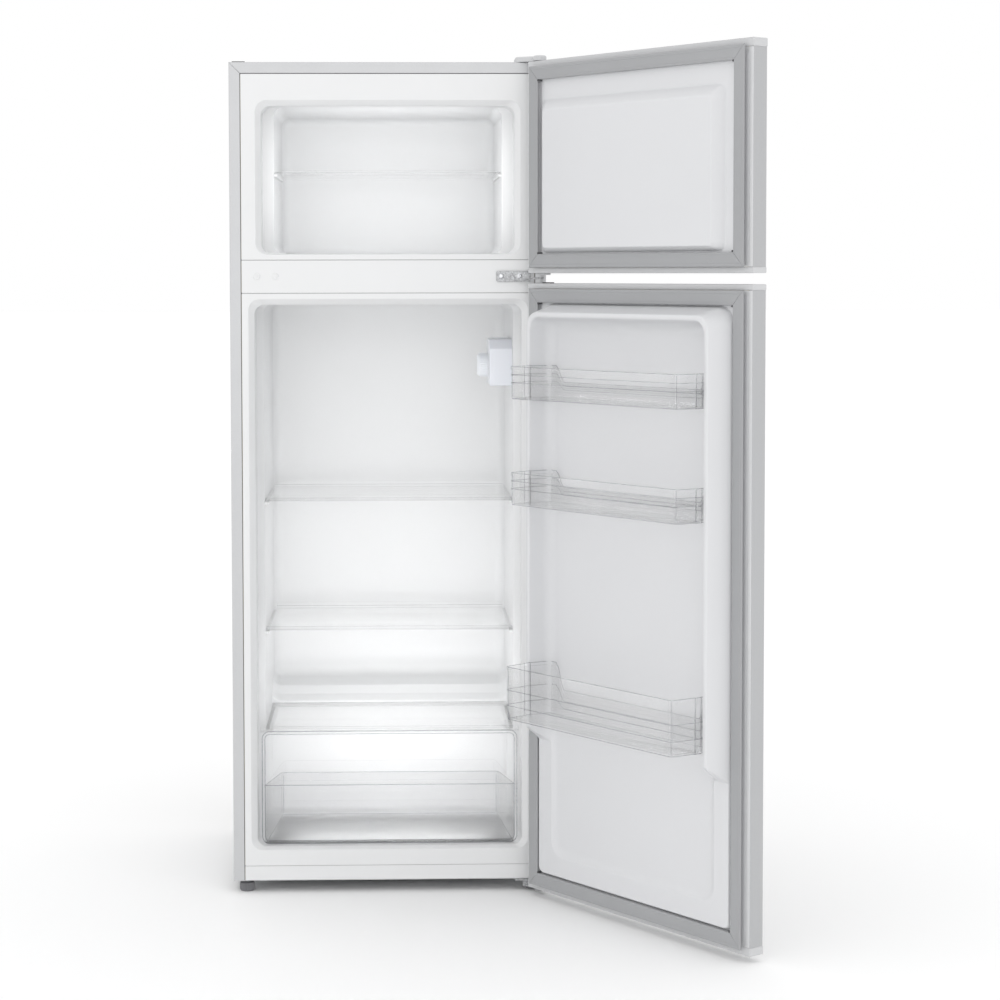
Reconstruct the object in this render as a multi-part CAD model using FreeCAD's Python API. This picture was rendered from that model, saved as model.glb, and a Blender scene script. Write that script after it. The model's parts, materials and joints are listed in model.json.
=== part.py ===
import FreeCAD, Part
import math
import os
from FreeCAD import Vector

# Top freezer refrigerator, millimetres.  X runs across, Y runs back from the cabinet's front face, Z is up.
# The origin lies on the floor, under the middle of the cabinet's front face.
# The doors and everything on them are drawn closed, then turned to the rest pose.

# ---- cabinet ----
cabinet_width = 545.0
cabinet_depth = 475.0
cabinet_height = 1420.0
floor_clearance = 20.0
sheet = 0.6
flange_width = 19.0
face_gap = 0.3
liner_wall = 1.2
foam_gap = 0.3
side_wall = 53.0

# ---- freezer compartment ----
freezer_height = 253.5
freezer_depth = 370.0
freezer_top_wall = 74.5
freezer_rim_bevel = 9.5
freezer_shoulder = 19.5
freezer_neck_depth = 60.0

# ---- fridge compartment ----
partition_height = 88.0
fridge_floor_rise = 58.0
fridge_depth = 400.0
fridge_rim_bevel = 10.0
fridge_shoulder = 11.5
fridge_neck_depth = 62.0
fridge_neck_slope = 18.0
rear_corner_radius = 20.0
sill_height = 26.0
hump_front = 300.0
hump_height = 262.0
hump_steps = ((18.0, 10.0), (33.0, 24.0))
hump_rear_rise = 34.0

# ---- machine compartment ----
bay_front = 350.0
bay_height = 242.0
bay_cheek = 12.0
base_sheet = 0.8
tray_sheet = 1.5
tray_overhang = 20.0
compressor_size = (190.0, 124.0, 146.0)
compressor_x = 60.0
compressor_setback = 50.0
mount_height = 14.5
condenser_offset = 28.0
condenser_rows = 14
condenser_tube_radius = 2.5
condenser_wires = 20
wire_size = 1.4
pipe_radius = 3.0

# ---- doors ----
door_thickness = 30.0
gasket_depth = 10.0
door_gap = 17.0
door_return = 9.5
door_sheet = 0.6
cap_proud = 0.8
tall_cap = 13.5
short_cap = 9.5
gasket_inset = 9.5
gasket_side_inset = 12.0
gasket_width = 24.0
gasket_clearance = 0.3
dike_height = 48.0
dike_low_height = 9.0
dike_slope = 14.0
dike_crest = 8.0
pocket_slope = 7.0
pocket_level = 6.0
pocket_corner = 22.0
plateau_height = 15.0

# ---- hinges ----
hinge_inset = 12.5
hinge_drop = 42.8
pin_radius = 3.5
running_gap = 0.05
bush_radius = 6.0
collar_radius = 8.0
stop_reach = 22.0
stop_width = 12.0
stop_sheet = 3.0
stop_plate_start = 12.0
stop_plate_sheet = 1.6
bracket_sheet = 3.0
pin_engagement = 7.0
rest_opening_deg = 126.0
screw_radius = 3.2
screw_head = 4.6
screw_length = 15.0

# ---- fittings inside ----
glass = 4.0
shelf_clearance = 1.5
shelf_front = 97.0
shelf_rear_gap = 15.0
shelf_trim_height = 6.4
ledge_width = 6.0
crisper_height = 200.0
crisper_depth = 228.0
crisper_wall = 2.2
crisper_side_height = 104.0
crisper_taper = 20.0
crisper_front_y = 22.0
bottle_bin_height = 90.0
small_bin_height = 55.0
small_bin_depth = 89.0
top_bin_share = 0.8877
bottle_bin_depth = 98.0
bin_wall = 2.2
bin_play = 1.2
foot_radius = 13.0
foot_height = 16.0
stud_radius = 4.0

# ---- levels and lines worked out from the sizes above ----
half_width = cabinet_width / 2
base_z = floor_clearance
top_z = base_z + cabinet_height
freezer_ceiling = top_z - freezer_top_wall
freezer_floor = freezer_ceiling - freezer_height
fridge_ceiling = freezer_floor - partition_height
fridge_floor = base_z + fridge_floor_rise
freezer_mouth = half_width - side_wall - 1.0
fridge_inner = half_width - side_wall
fridge_mouth = fridge_inner + fridge_shoulder
hinge_z = freezer_floor - hinge_drop
hinge_x = half_width - hinge_inset
hinge_y = -gasket_depth - door_thickness / 2
door_inner_y = -gasket_depth
door_outer_y = door_inner_y - door_thickness
fridge_door_bottom = base_z - 8.3
fridge_door_top = hinge_z - door_gap / 2
freezer_door_bottom = hinge_z + door_gap / 2
freezer_door_top = top_z - 1.5
bay_top = base_z + bay_height
back_y = cabinet_depth - sheet
foam_front = 1.5
crisper_bottom = fridge_floor + 0.8
crisper_top = crisper_bottom + crisper_height
cover_top = crisper_top + 2.0
bottle_bin_z = cover_top + 47.0
lower_shelf_top = bottle_bin_z + bottle_bin_height + 33.0
upper_shelf_top = lower_shelf_top + (fridge_ceiling - lower_shelf_top) * 0.402
middle_bin_z = upper_shelf_top + 8.4
dike_inset = gasket_side_inset + gasket_width + 1.0
pocket_inset = dike_inset + dike_slope + dike_crest
bin_zone_top = fridge_door_top - gasket_inset - gasket_width - 1.0 - dike_slope - dike_crest - pocket_corner
bin_zone = bin_zone_top - lower_shelf_top
top_bin_z = lower_shelf_top + bin_zone * top_bin_share - small_bin_height
control_top = fridge_ceiling - 64.0
control_bottom = control_top - 82.0
control_inner_x = fridge_inner - 40.5
control_y = 105.0
lens_depth = 60.0
housing_depth = 72.0
knob_y = control_y + lens_depth + 36.0
knob_z = control_bottom + 34.0
lamp_z = control_bottom + 44.0
freezer_shelf_z = freezer_floor + 143.0

OUT = "parts"
os.makedirs(OUT, exist_ok=True)


# ---- drawing helpers ----
def save(name, shape):
    """Writes one node; a node of several solids is a compound."""
    if isinstance(shape, (list, tuple)):
        shape = Part.makeCompound(list(shape))
    shape.exportStep(os.path.join(OUT, name + ".step"))


def box(x0, x1, y0, y1, z0, z1):
    return Part.makeBox(x1 - x0, y1 - y0, z1 - z0, Vector(x0, y0, z0))


def rod(x, y, z, radius, length, direction=(0, 0, 1)):
    return Part.makeCylinder(radius, length, Vector(x, y, z), Vector(*direction))


def fuse(shapes):
    shapes = list(shapes)
    joined = shapes[0]
    if len(shapes) > 1:
        joined = joined.multiFuse(shapes[1:])
    return joined.removeSplitter()


def closed_wire(points):
    return Part.makePolygon([Vector(*p) for p in points] + [Vector(*points[0])])


def prism_x(outline, x0, x1):
    """Extrudes a (y, z) outline along X."""
    wire = closed_wire([(x0, y, z) for y, z in outline])
    return Part.Face(wire).extrude(Vector(x1 - x0, 0, 0))


def prism_z(outline, z0, z1):
    """Extrudes an (x, y) outline along Z."""
    wire = closed_wire([(x, y, z0) for x, y in outline])
    return Part.Face(wire).extrude(Vector(0, 0, z1 - z0))


def round_rect(x0, x1, z0, z1, radius, y):
    """A rounded rectangle in the plane at y, as a closed wire."""
    radius = min(radius, (x1 - x0) / 2.01, (z1 - z0) / 2.01)
    corners = [(x1 - radius, z0 + radius, 270), (x1 - radius, z1 - radius, 0),
               (x0 + radius, z1 - radius, 90), (x0 + radius, z0 + radius, 180)]
    arcs = []
    for cx, cz, start in corners:
        ends = []
        for turn in (0, 45, 90):
            angle = math.radians(start + turn)
            ends.append(Vector(cx + radius * math.cos(angle), y, cz + radius * math.sin(angle)))
        arcs.append(Part.Arc(*ends).toShape())
    edges = []
    for index, arc in enumerate(arcs):
        edges.append(arc)
        following = arcs[(index + 1) % 4]
        edges.append(Part.LineSegment(arc.Vertexes[-1].Point, following.Vertexes[0].Point).toShape())
    return Part.Wire(edges)


def plate_y(x0, x1, z0, z1, radius, y0, y1):
    face = Part.Face(round_rect(x0, x1, z0, z1, radius, y0))
    return face.extrude(Vector(0, y1 - y0, 0))


def frustum_y(front, back):
    """Solid between two rounded rectangles (x0, x1, z0, z1, radius, y)."""
    return Part.makeLoft([round_rect(*front), round_rect(*back)], True, True)


def offset_path(points, distance):
    """Moves an open path of straight runs sideways, to its left, keeping the runs parallel."""
    moved = []
    for index, (a, b) in enumerate(points):
        normals = []
        for j, k in ((index - 1, index), (index, index + 1)):
            if 0 <= j and k < len(points):
                dx, dy = points[k][0] - points[j][0], points[k][1] - points[j][1]
                length = math.hypot(dx, dy)
                normals.append((-dy / length, dx / length))
        nx = sum(n[0] for n in normals) / len(normals)
        ny = sum(n[1] for n in normals) / len(normals)
        scale = distance / (nx * nx + ny * ny)
        moved.append((a + nx * scale, b + ny * scale))
    return moved


def tube(points, radius):
    """Round bar along straight runs, with a ball at each corner."""
    pieces = []
    for start, end in zip(points, points[1:]):
        run = Vector(*end) - Vector(*start)
        pieces.append(Part.makeCylinder(radius, run.Length, Vector(*start), run))
    for corner in points[1:-1]:
        pieces.append(Part.makeSphere(radius, Vector(*corner)))
    return fuse(pieces)


def fillet_edges(shape, radius, wanted):
    edges = [edge for edge in shape.Edges if wanted(edge)]
    return shape.makeFillet(radius, edges)


def upright(edge):
    low, high = edge.BoundBox.ZMin, edge.BoundBox.ZMax
    return high - low > 0.9 * edge.Length and edge.Length > 1.0


# ---- compartments ----
def plan_outline(mouth, inner, neck, slope, depth, front, grow):
    """Half-symmetric plan of a compartment: straight neck, sloping shoulder, cut rear corners."""
    corner = rear_corner_radius
    right = [(mouth + grow, front), (mouth + grow, neck), (inner + grow, neck + slope),
             (inner + grow, depth - corner)]
    steps = 4
    for step in range(1, steps + 1):
        angle = math.radians(90 * step / steps)
        right.append((inner + grow - corner + corner * math.cos(angle),
                      depth + grow - corner + corner * math.sin(angle)))
    left = [(-x, y) for x, y in reversed(right)]
    return right + left


def freezer_cavity(grow):
    rim = freezer_mouth + freezer_rim_bevel
    low, high = freezer_floor - grow, freezer_ceiling + grow
    mouth = frustum_y((-rim - grow, rim + grow, low, high + freezer_rim_bevel, 20.0 + grow, 0.0),
                      (-freezer_mouth - grow, freezer_mouth + grow, low, high, 14.0 + grow,
                       freezer_rim_bevel))
    plan = plan_outline(freezer_mouth, freezer_mouth - freezer_shoulder, freezer_neck_depth, 4.0,
                        freezer_depth, freezer_rim_bevel, grow)
    body = prism_z(plan, low, high)
    rounding = plate_y(-freezer_mouth - grow, freezer_mouth + grow, low, high, 14.0 + grow,
                       0.0, freezer_depth + grow)
    return fuse([mouth, body.common(rounding)])


def hump_line(grow):
    """Rear wall of the fridge compartment from its floor to its ceiling, (y, z)."""
    rise = fridge_floor_rise + base_z
    crown = base_z + hump_height
    line = [(hump_front, rise), (hump_front, crown)]
    line += [(hump_front + back, crown + up) for back, up in hump_steps]
    line += [(fridge_depth, crown + hump_rear_rise), (fridge_depth, fridge_ceiling)]
    return offset_path(line, -grow)


def fridge_cavity(grow):
    rim = fridge_mouth + fridge_rim_bevel
    low, high = fridge_floor - grow, fridge_ceiling + grow
    mouth = frustum_y((-rim - grow, rim + grow, low - 4.0, high + fridge_rim_bevel, 20.0 + grow, 0.0),
                      (-fridge_mouth - grow, fridge_mouth + grow, low, high, 14.0 + grow, fridge_rim_bevel))
    plan = plan_outline(fridge_mouth, fridge_inner, fridge_neck_depth, fridge_neck_slope,
                        fridge_depth, fridge_rim_bevel, grow)
    wall = hump_line(grow)
    outline = [(fridge_rim_bevel, low)] + [(wall[0][0], low)] + wall[1:-1] + [(wall[-1][0], high)]
    outline.append((fridge_rim_bevel, high))
    body = prism_z(plan, low, high).common(prism_x(outline, -fridge_mouth - grow, fridge_mouth + grow))
    rounding = plate_y(-fridge_mouth - grow, fridge_mouth + grow, low, high, 14.0 + grow,
                       0.0, fridge_depth + grow)
    return fuse([mouth, body.common(rounding)])


def flange(z0, z1):
    edge = half_width - flange_width - face_gap
    return box(-edge, edge, 0.0, liner_wall, z0 + face_gap, z1 - face_gap)


# ---- screws shared by the brackets, the sheets and the foam ----
top_screws = [(hinge_x - 26.0, 24.0), (hinge_x - 4.0, 24.0), (hinge_x - 15.0, 42.0)]
middle_screws = [half_width - 77.8, half_width - 46.5]
bottom_screws = [(hinge_x - 32.0, 34.0), (hinge_x - 12.0, 44.0)]
middle_screw_z = hinge_z + 3.8
foot_x = half_width - 22.5
foot_y = 16.0


def screw_cutters(extra):
    """Clearance round each screw shank, from the surface it enters."""
    radius = screw_radius + extra
    cutters = []
    for x, y in top_screws:
        cutters.append(rod(x, y, top_z - screw_length, radius, screw_length + 10.0))
    for x in middle_screws:
        for side in (-1, 1):
            cutters.append(rod(side * x, -10.0, middle_screw_z, radius, screw_length + 10.0, (0, 1, 0)))
    for x, y in bottom_screws:
        cutters.append(rod(x, y, base_z - 10.0, radius, screw_length + 10.0))
    return cutters


def foot_cutters(extra):
    return [rod(side * foot_x, foot_y, 0.0, stud_radius + extra, base_z + 30.0) for side in (-1, 1)]


# ---- cabinet ----
bay_path = [(sheet, base_z), (bay_front, base_z), (bay_front + 12.0, base_z + bay_height - 32.0),
            (bay_front + 35.0, bay_top), (back_y, bay_top)]
bay_outline = bay_path[1:] + [(back_y, base_z)]


def cabinet_shell():
    outer = box(-half_width, half_width, 0.0, cabinet_depth, base_z, top_z)
    inner = box(-half_width + sheet, half_width - sheet, -1.0, cabinet_depth + 1.0, 0.0, top_z - sheet)
    front = box(-half_width, half_width, 0.0, sheet, base_z, top_z)
    window = box(-half_width + flange_width, half_width - flange_width, -1.0, 2.0, 0.0, top_z - flange_width)
    shell = fuse([outer.cut(inner), front.cut(window)])
    return shell.cut(Part.makeCompound(screw_cutters(face_gap)))


def base_plate():
    inside = half_width - sheet
    upper = offset_path(bay_path, base_sheet)
    band = prism_x(bay_path + list(reversed(upper)), -inside + bay_cheek, inside - bay_cheek)
    front = box(-inside, inside, sheet, bay_front, base_z, base_z + base_sheet)
    front = front.cut(box(-inside + bay_cheek, inside - bay_cheek, 0.0, bay_front + 1.0, 0.0, base_z + 5.0))
    cheeks = []
    for side in (-1, 1):
        x0, x1 = sorted((side * (inside - bay_cheek), side * (inside - bay_cheek - base_sheet)))
        cheeks.append(prism_x(bay_outline, x0, x1))
    plate = fuse([band, front] + cheeks)
    return plate.cut(Part.makeCompound(screw_cutters(face_gap) + foot_cutters(running_gap + 0.03)))


def cabinet_foam():
    inside = half_width - sheet
    floor_line = offset_path(bay_path, base_sheet)
    floor_line[0] = (foam_front, floor_line[0][1])
    outline = floor_line + [(back_y, top_z - sheet), (foam_front, top_z - sheet)]
    block = prism_x(outline, -inside, inside)
    cheeks = []
    for x0, x1 in ((-inside, -inside + bay_cheek), (inside - bay_cheek, inside)):
        side = [(bay_front - base_sheet, base_z + base_sheet), (back_y, base_z + base_sheet),
                (back_y, bay_top + base_sheet + 1.0), (bay_front - base_sheet, bay_top + base_sheet + 1.0)]
        cheeks.append(prism_x(side, x0, x1))
    grow = liner_wall + foam_gap
    foam = fuse([block] + cheeks)
    foam = foam.cut(freezer_cavity(grow)).cut(fridge_cavity(grow))
    pocket = box(*evaporator_box(foam_gap))
    return foam.cut(Part.makeCompound([pocket] + screw_cutters(face_gap) + foot_cutters(face_gap)))


def evaporator_box(grow):
    y = fridge_depth + liner_wall
    low = upper_shelf_top - 180.0
    high = fridge_ceiling - 80.0
    return (-180.0 - grow, 180.0 + grow, y, y + 1.6 + grow, low - grow, high + grow)


def side_ledge(level, y0, y1, wall, thickness=4.0):
    """A pair of moulded ribs on the side walls, with their tops at the level."""
    ribs = []
    for side in (-1, 1):
        x0, x1 = sorted((side * (wall - ledge_width), side * (wall + liner_wall / 2)))
        ribs.append(box(x0, x1, y0, y1, level - thickness, level))
    return ribs


def freezer_liner():
    wall = freezer_mouth - freezer_shoulder
    edge_low, edge_high = freezer_floor - 11.0, top_z - flange_width
    body = fuse([flange(edge_low, edge_high), freezer_cavity(liner_wall)])
    body = body.cut(freezer_cavity(0.0))
    ribs = side_ledge(freezer_shelf_z - 3.3, 70.0, 330.0, wall)
    return fuse([body] + ribs)


def fridge_liner():
    edge_low, edge_high = base_z + sill_height, fridge_ceiling + 20.0
    body = fuse([flange(edge_low, edge_high), fridge_cavity(liner_wall)])
    body = body.cut(fridge_cavity(0.0))
    ribs = []
    for level in (lower_shelf_top, upper_shelf_top):
        ribs += side_ledge(level - shelf_trim_height - 0.3, 95.0, fridge_depth - 30.0, fridge_inner)
    cover_rest = cover_top - glass - 1.0 - 2.5 - 0.3
    ribs += side_ledge(cover_rest, 84.0, hump_front - 6.0, fridge_inner)
    return fuse([body] + ribs)


def mullion_cover():
    low, high = fridge_ceiling + 20.0, freezer_floor - 11.0
    edge = half_width - flange_width - face_gap
    cover = box(-edge, edge, 0.0, liner_wall, low, high)
    return cover.cut(Part.makeCompound(screw_cutters(face_gap)))


def front_sill():
    edge = half_width - flange_width - face_gap
    return box(-edge, edge, 0.0, liner_wall, base_z + base_sheet, base_z + sill_height)


# ---- brackets, screws, plugs ----
def nose(z0, z1, reach):
    """Flat tongue that carries the hinge pin, rounded about the pin's axis."""
    tip = rod(hinge_x, hinge_y, z0, collar_radius + 1.0, z1 - z0)
    arm = prism_z([(hinge_x - reach, 0.0), (hinge_x - collar_radius - 1.0, hinge_y),
                   (hinge_x + collar_radius + 1.0, hinge_y), (hinge_x + collar_radius + 1.0, 0.0)], z0, z1)
    return [tip, arm]


def hinge_top():
    plate = box(hinge_x - 38.0, hinge_x + 9.0, 0.0, 52.0, top_z, top_z + bracket_sheet)
    pin = rod(hinge_x, hinge_y, top_z - pin_engagement - 3.0, pin_radius, pin_engagement + 3.0)
    holes = [rod(x, y, top_z - 1.0, screw_radius + 0.1, 10.0) for x, y in top_screws]
    bracket = fuse([plate, pin] + nose(top_z, top_z + bracket_sheet, 38.0))
    return bracket.cut(Part.makeCompound(holes))


def hinge_middle():
    low, high = hinge_z - bracket_sheet / 2, hinge_z + bracket_sheet / 2
    wall = box(half_width - 86.0, half_width - 27.0, -bracket_sheet, 0.0, hinge_z - 6.0, hinge_z + 12.5)
    pin_low = fridge_door_top - pin_engagement
    pin = rod(hinge_x, hinge_y, pin_low, pin_radius, freezer_door_bottom + pin_engagement - pin_low)
    holes = [rod(x, -5.0, middle_screw_z, screw_radius + 0.1, 10.0, (0, 1, 0)) for x in middle_screws]
    before_wall = box(0, half_width, -60.0, -bracket_sheet / 2, 0.0, top_z)
    tongue = [shape.common(before_wall) for shape in nose(low, high, 30.0)]
    bracket = fuse([wall, pin] + tongue)
    return bracket.cut(Part.makeCompound(holes))


def hinge_bottom():
    tongue_low = fridge_door_bottom - 1.7 - bracket_sheet
    tongue_high = tongue_low + bracket_sheet
    plate = box(hinge_x - 42.0, hinge_x + 9.0, -bracket_sheet, 54.0, base_z - bracket_sheet, base_z)
    web = box(hinge_x - 25.0, hinge_x + 9.0, -bracket_sheet, 0.0, tongue_low, base_z)
    pin = rod(hinge_x, hinge_y, tongue_high, pin_radius, fridge_door_bottom + pin_engagement - tongue_high)
    holes = [rod(x, y, 0.0, screw_radius + 0.1, base_z + 5.0) for x, y in bottom_screws]
    holes.append(rod(foot_x, foot_y, 0.0, stud_radius + 0.6, base_z + 5.0))
    bracket = fuse([plate, web, pin] + nose(tongue_low, tongue_high, 25.0))
    return bracket.cut(Part.makeCompound(holes))


def screw(x, y, z, direction):
    axis = Vector(*direction)
    head = Part.makeCylinder(screw_head, 2.4, Vector(x, y, z) - axis * 2.4, axis)
    shank = Part.makeCylinder(screw_radius, screw_length, Vector(x, y, z), axis)
    return fuse([head, shank])


def hinge_screws():
    screws = [screw(x, y, top_z + bracket_sheet, (0, 0, -1)) for x, y in top_screws]
    screws += [screw(x, -bracket_sheet, middle_screw_z, (0, 1, 0)) for x in middle_screws]
    screws += [screw(x, y, base_z - bracket_sheet, (0, 0, 1)) for x, y in bottom_screws]
    return screws


def hinge_cover():
    rise = bracket_sheet + 6.0
    outer = box(hinge_x - 40.5, hinge_x + 11.5, hinge_y - 11.5, 54.5, top_z, top_z + rise)
    inner = box(hinge_x - 38.6, hinge_x + 9.6, hinge_y - 9.6, 52.6, top_z - 1.0, top_z + rise - 1.6)
    outer = fillet_edges(outer, 4.0, upright)
    return outer.cut(inner)


def hole_plugs():
    plugs = []
    for x in middle_screws:
        cap = rod(-x, -1.4, middle_screw_z, 5.9, 1.4, (0, 1, 0))
        stem = rod(-x, 0.0, middle_screw_z, screw_radius, 8.0, (0, 1, 0))
        plugs.append(fuse([cap, stem]))
    return plugs


def top_hole_cover():
    return box(-half_width + 5.0, -half_width + 27.0, 12.0, 40.0, top_z, top_z + 2.0)


# ---- doors ----
def place(shape):
    """Turns a closed door's piece to the opening it rests at."""
    turned = shape.copy()
    turned.rotate(Vector(hinge_x, hinge_y, 0), Vector(0, 0, 1), rest_opening_deg)
    return turned


def door_skin(z0, z1):
    outer = box(-half_width, half_width, door_outer_y, door_inner_y, z0, z1)
    outer = fillet_edges(outer, 4.0, lambda e: upright(e) and e.BoundBox.YMax < door_outer_y + 1.0)
    inner = box(-half_width + door_sheet, half_width - door_sheet, door_outer_y + door_sheet,
                door_inner_y - door_sheet, z0 - 1.0, z1 + 1.0)
    inner = fillet_edges(inner, 3.4, lambda e: upright(e) and e.BoundBox.YMax < door_outer_y + 1.0)
    window = box(-half_width + door_return, half_width - door_return, door_inner_y - 2.0,
                 door_inner_y + 1.0, z0 - 1.0, z1 + 1.0)
    return outer.cut(inner).cut(window)


def door_cap(z0, z1, socket_z, depth):
    """End cap; the bush socket is cut from socket_z for the signed depth."""
    cap = box(-half_width - cap_proud, half_width + cap_proud, door_outer_y - cap_proud, door_inner_y, z0, z1)
    cap = fillet_edges(cap, 4.8, lambda e: upright(e) and e.BoundBox.YMax < door_outer_y)
    low = min(socket_z, socket_z + depth)
    return cap.cut(rod(hinge_x, hinge_y, low, bush_radius + running_gap, abs(depth)))


def bush(mouth_z, reach, collar):
    """Sleeve in a door's cap with a collar outside it; reach is signed, into the door."""
    low = min(mouth_z, mouth_z + reach)
    sleeve = rod(hinge_x, hinge_y, low, bush_radius, abs(reach))
    collar_low = min(mouth_z, mouth_z - math.copysign(collar, reach))
    ring = rod(hinge_x, hinge_y, collar_low, collar_radius, collar)
    bore_low = min(low, collar_low) - 1.0
    return fuse([sleeve, ring]).cut(rod(hinge_x, hinge_y, bore_low, pin_radius + running_gap, 60.0))


def bottom_bush_with_stop(low):
    """The freezer door's lower bush, with a flat lug that meets the bracket when the door is wide open."""
    sleeve = bush(low, pin_engagement + 0.5, door_gap / 2 - bracket_sheet / 2 - 0.3)
    lug = box(hinge_x - stop_reach, hinge_x, hinge_y - stop_width / 2, hinge_y + stop_width / 2,
              low - stop_sheet, low)
    bore = rod(hinge_x, hinge_y, low - 20.0, pin_radius + running_gap, 40.0)
    return fuse([sleeve, lug]).cut(bore)


def stop_plate(high):
    """Thin wearing plate on the fridge door's top cap, beside its bush."""
    return box(hinge_x - stop_plate_start - stop_reach, hinge_x - stop_plate_start,
               hinge_y - stop_width / 3, hinge_y + stop_width / 3, high, high + stop_plate_sheet)


def gasket(z0, z1):
    low, high = z0 + gasket_inset, z1 - gasket_inset
    edge = half_width - gasket_side_inset
    tip = -gasket_clearance
    ring = box(-edge, edge, door_inner_y, tip, low, high)
    hole = box(-edge + gasket_width, edge - gasket_width, door_inner_y - 1.0, 1.0,
               low + gasket_width, high - gasket_width)
    return ring.cut(hole)


def liner_sheet(z0, z1):
    edge = half_width - door_return - face_gap
    return box(-edge, edge, door_inner_y - liner_wall, door_inner_y, z0 + face_gap, z1 - face_gap)


def freezer_plateau(inset):
    edge = half_width - dike_inset - inset
    low = freezer_door_bottom + gasket_inset + gasket_width + 1.5 + inset
    high = freezer_door_top - gasket_inset - gasket_width - 33.0 - inset
    left = -edge + 24.0
    slope = 18.0
    base_y = door_inner_y - liner_wall - 1.0
    return frustum_y((left, edge, low, high, 22.0, base_y),
                     (left + slope, edge - slope, low + 8.0, high - slope, 16.0,
                      door_inner_y + plateau_height - inset))


def fridge_dike(inset):
    """The raised ring of the fridge door's liner, low where it faces the crisper drawer."""
    edge = half_width - dike_inset - inset
    low = fridge_door_bottom + gasket_inset + gasket_width + 1.0 + inset
    high = fridge_door_top - gasket_inset - gasket_width - 1.0 - inset
    base_y = door_inner_y - liner_wall - 1.0
    crest_y = door_inner_y + dike_height - inset
    ring = frustum_y((-edge, edge, low, high, 34.0, base_y),
                     (-edge + dike_slope, edge - dike_slope, low + dike_slope, high - dike_slope,
                      26.0, crest_y))
    mouth = edge - dike_slope - dike_crest + 2 * inset
    mouth_low = low + dike_slope + dike_crest - 2 * inset
    mouth_high = high - dike_slope - dike_crest + 2 * inset
    pocket_y = door_inner_y + pocket_level - inset
    pocket = frustum_y((-mouth + pocket_slope, mouth - pocket_slope, mouth_low + pocket_slope,
                        mouth_high - pocket_slope, 20.0, pocket_y),
                       (-mouth, mouth, mouth_low, mouth_high, pocket_corner, crest_y + 0.01))
    step_low, step_high = crisper_top + 0.5 + inset, crisper_top + 29.0 + inset
    low_y = door_inner_y + dike_low_height - inset
    relief = prism_x([(low_y, 0.0), (low_y, step_low), (crest_y + 1.0, step_high), (crest_y + 1.0, 0.0)],
                     -half_width, half_width)
    return ring.cut(pocket).cut(relief)


def bin_ledges():
    """Ribs on the dike's inner faces that the bins stand on."""
    edge = half_width - pocket_inset
    ribs = []
    for level in (bottle_bin_z, middle_bin_z, top_bin_z):
        for side in (-1, 1):
            x0, x1 = sorted((side * (edge - 11.0), side * (edge + 3.0)))
            ribs.append(box(x0, x1, door_inner_y + 12.0, door_inner_y + 40.0, level - 5.3, level - 0.3))
    return ribs


def door_foam(z0, z1, raised):
    inside = half_width - door_sheet
    block = box(-inside, inside, door_outer_y + door_sheet, door_inner_y - liner_wall, z0, z1)
    block = fillet_edges(block, 3.4, lambda e: upright(e) and e.BoundBox.YMax < door_outer_y + 1.0)
    return fuse([block, raised])


def door_liner(z0, z1, outer, inner):
    return fuse([liner_sheet(z0, z1), outer]).cut(inner).cut(
        box(-half_width, half_width, door_outer_y, door_inner_y - liner_wall, z0, z1))


def freezer_door():
    low, high = freezer_door_bottom, freezer_door_top
    z0, z1 = low + short_cap, high - tall_cap
    outer, inner = freezer_plateau(0.0), freezer_plateau(liner_wall)
    pieces = {
        "freezer_door_skin": door_skin(z0, z1),
        "freezer_door_foam": door_foam(z0, z1, freezer_plateau(liner_wall + foam_gap)),
        "freezer_door_liner": door_liner(z0, z1, outer, inner),
        "freezer_door_gasket": gasket(low, high),
        "freezer_door_cap_top": door_cap(z1, high, high, -11.5),
        "freezer_door_cap_bottom": door_cap(low, z0, low, pin_engagement + 0.8),
    }
    bushes = [bush(high, -11.2, 1.2), bottom_bush_with_stop(low)]
    pieces["freezer_door_bushes"] = Part.makeCompound(bushes)
    return pieces


def fridge_door():
    low, high = fridge_door_bottom, fridge_door_top
    z0, z1 = low + tall_cap, high - short_cap
    outer = fuse([fridge_dike(0.0)] + bin_ledges())
    pieces = {
        "fridge_door_skin": door_skin(z0, z1),
        "fridge_door_foam": door_foam(z0, z1, fridge_dike(liner_wall + foam_gap)),
        "fridge_door_liner": door_liner(z0, z1, outer, fridge_dike(liner_wall)),
        "fridge_door_gasket": gasket(low, high),
        "fridge_door_cap_top": door_cap(z1, high, high, -pin_engagement - 0.8),
        "fridge_door_cap_bottom": door_cap(low, z0, low, 11.5),
    }
    bushes = [bush(high, -pin_engagement - 0.5, door_gap / 2 - bracket_sheet / 2 - 0.3),
              bush(low, 11.2, 1.4)]
    pieces["fridge_door_bushes"] = Part.makeCompound(bushes)
    pieces["stop_plate"] = stop_plate(high)
    return pieces


def door_bin(z, height, depth):
    """Open tray with sloping ends; its rear wall is half as high as its front."""
    reach = half_width - pocket_inset - bin_play
    y0 = door_inner_y + pocket_level + 2.0
    y1 = y0 + depth

    def outline(inset):
        right = [(reach - 7.5 - inset, y0 + inset), (reach - inset, y0 + 38.0), (reach - inset, y0 + 52.0),
                 (reach - 5.0 - inset, y1 - 8.0), (reach - 11.0 - inset, y1 - inset)]
        return right + [(-x, y) for x, y in reversed(right)]

    inside = prism_z(outline(bin_wall), z + bin_wall, z + height + 1.0)
    tray = prism_z(outline(0.0), z, z + height).cut(inside)
    rear_cut = box(-reach + 30.0, reach - 30.0, y0 - 1.0, y0 + bin_wall + 1.0,
                   z + height * 0.5, z + height + 1.0)
    return tray.cut(rear_cut)


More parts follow.
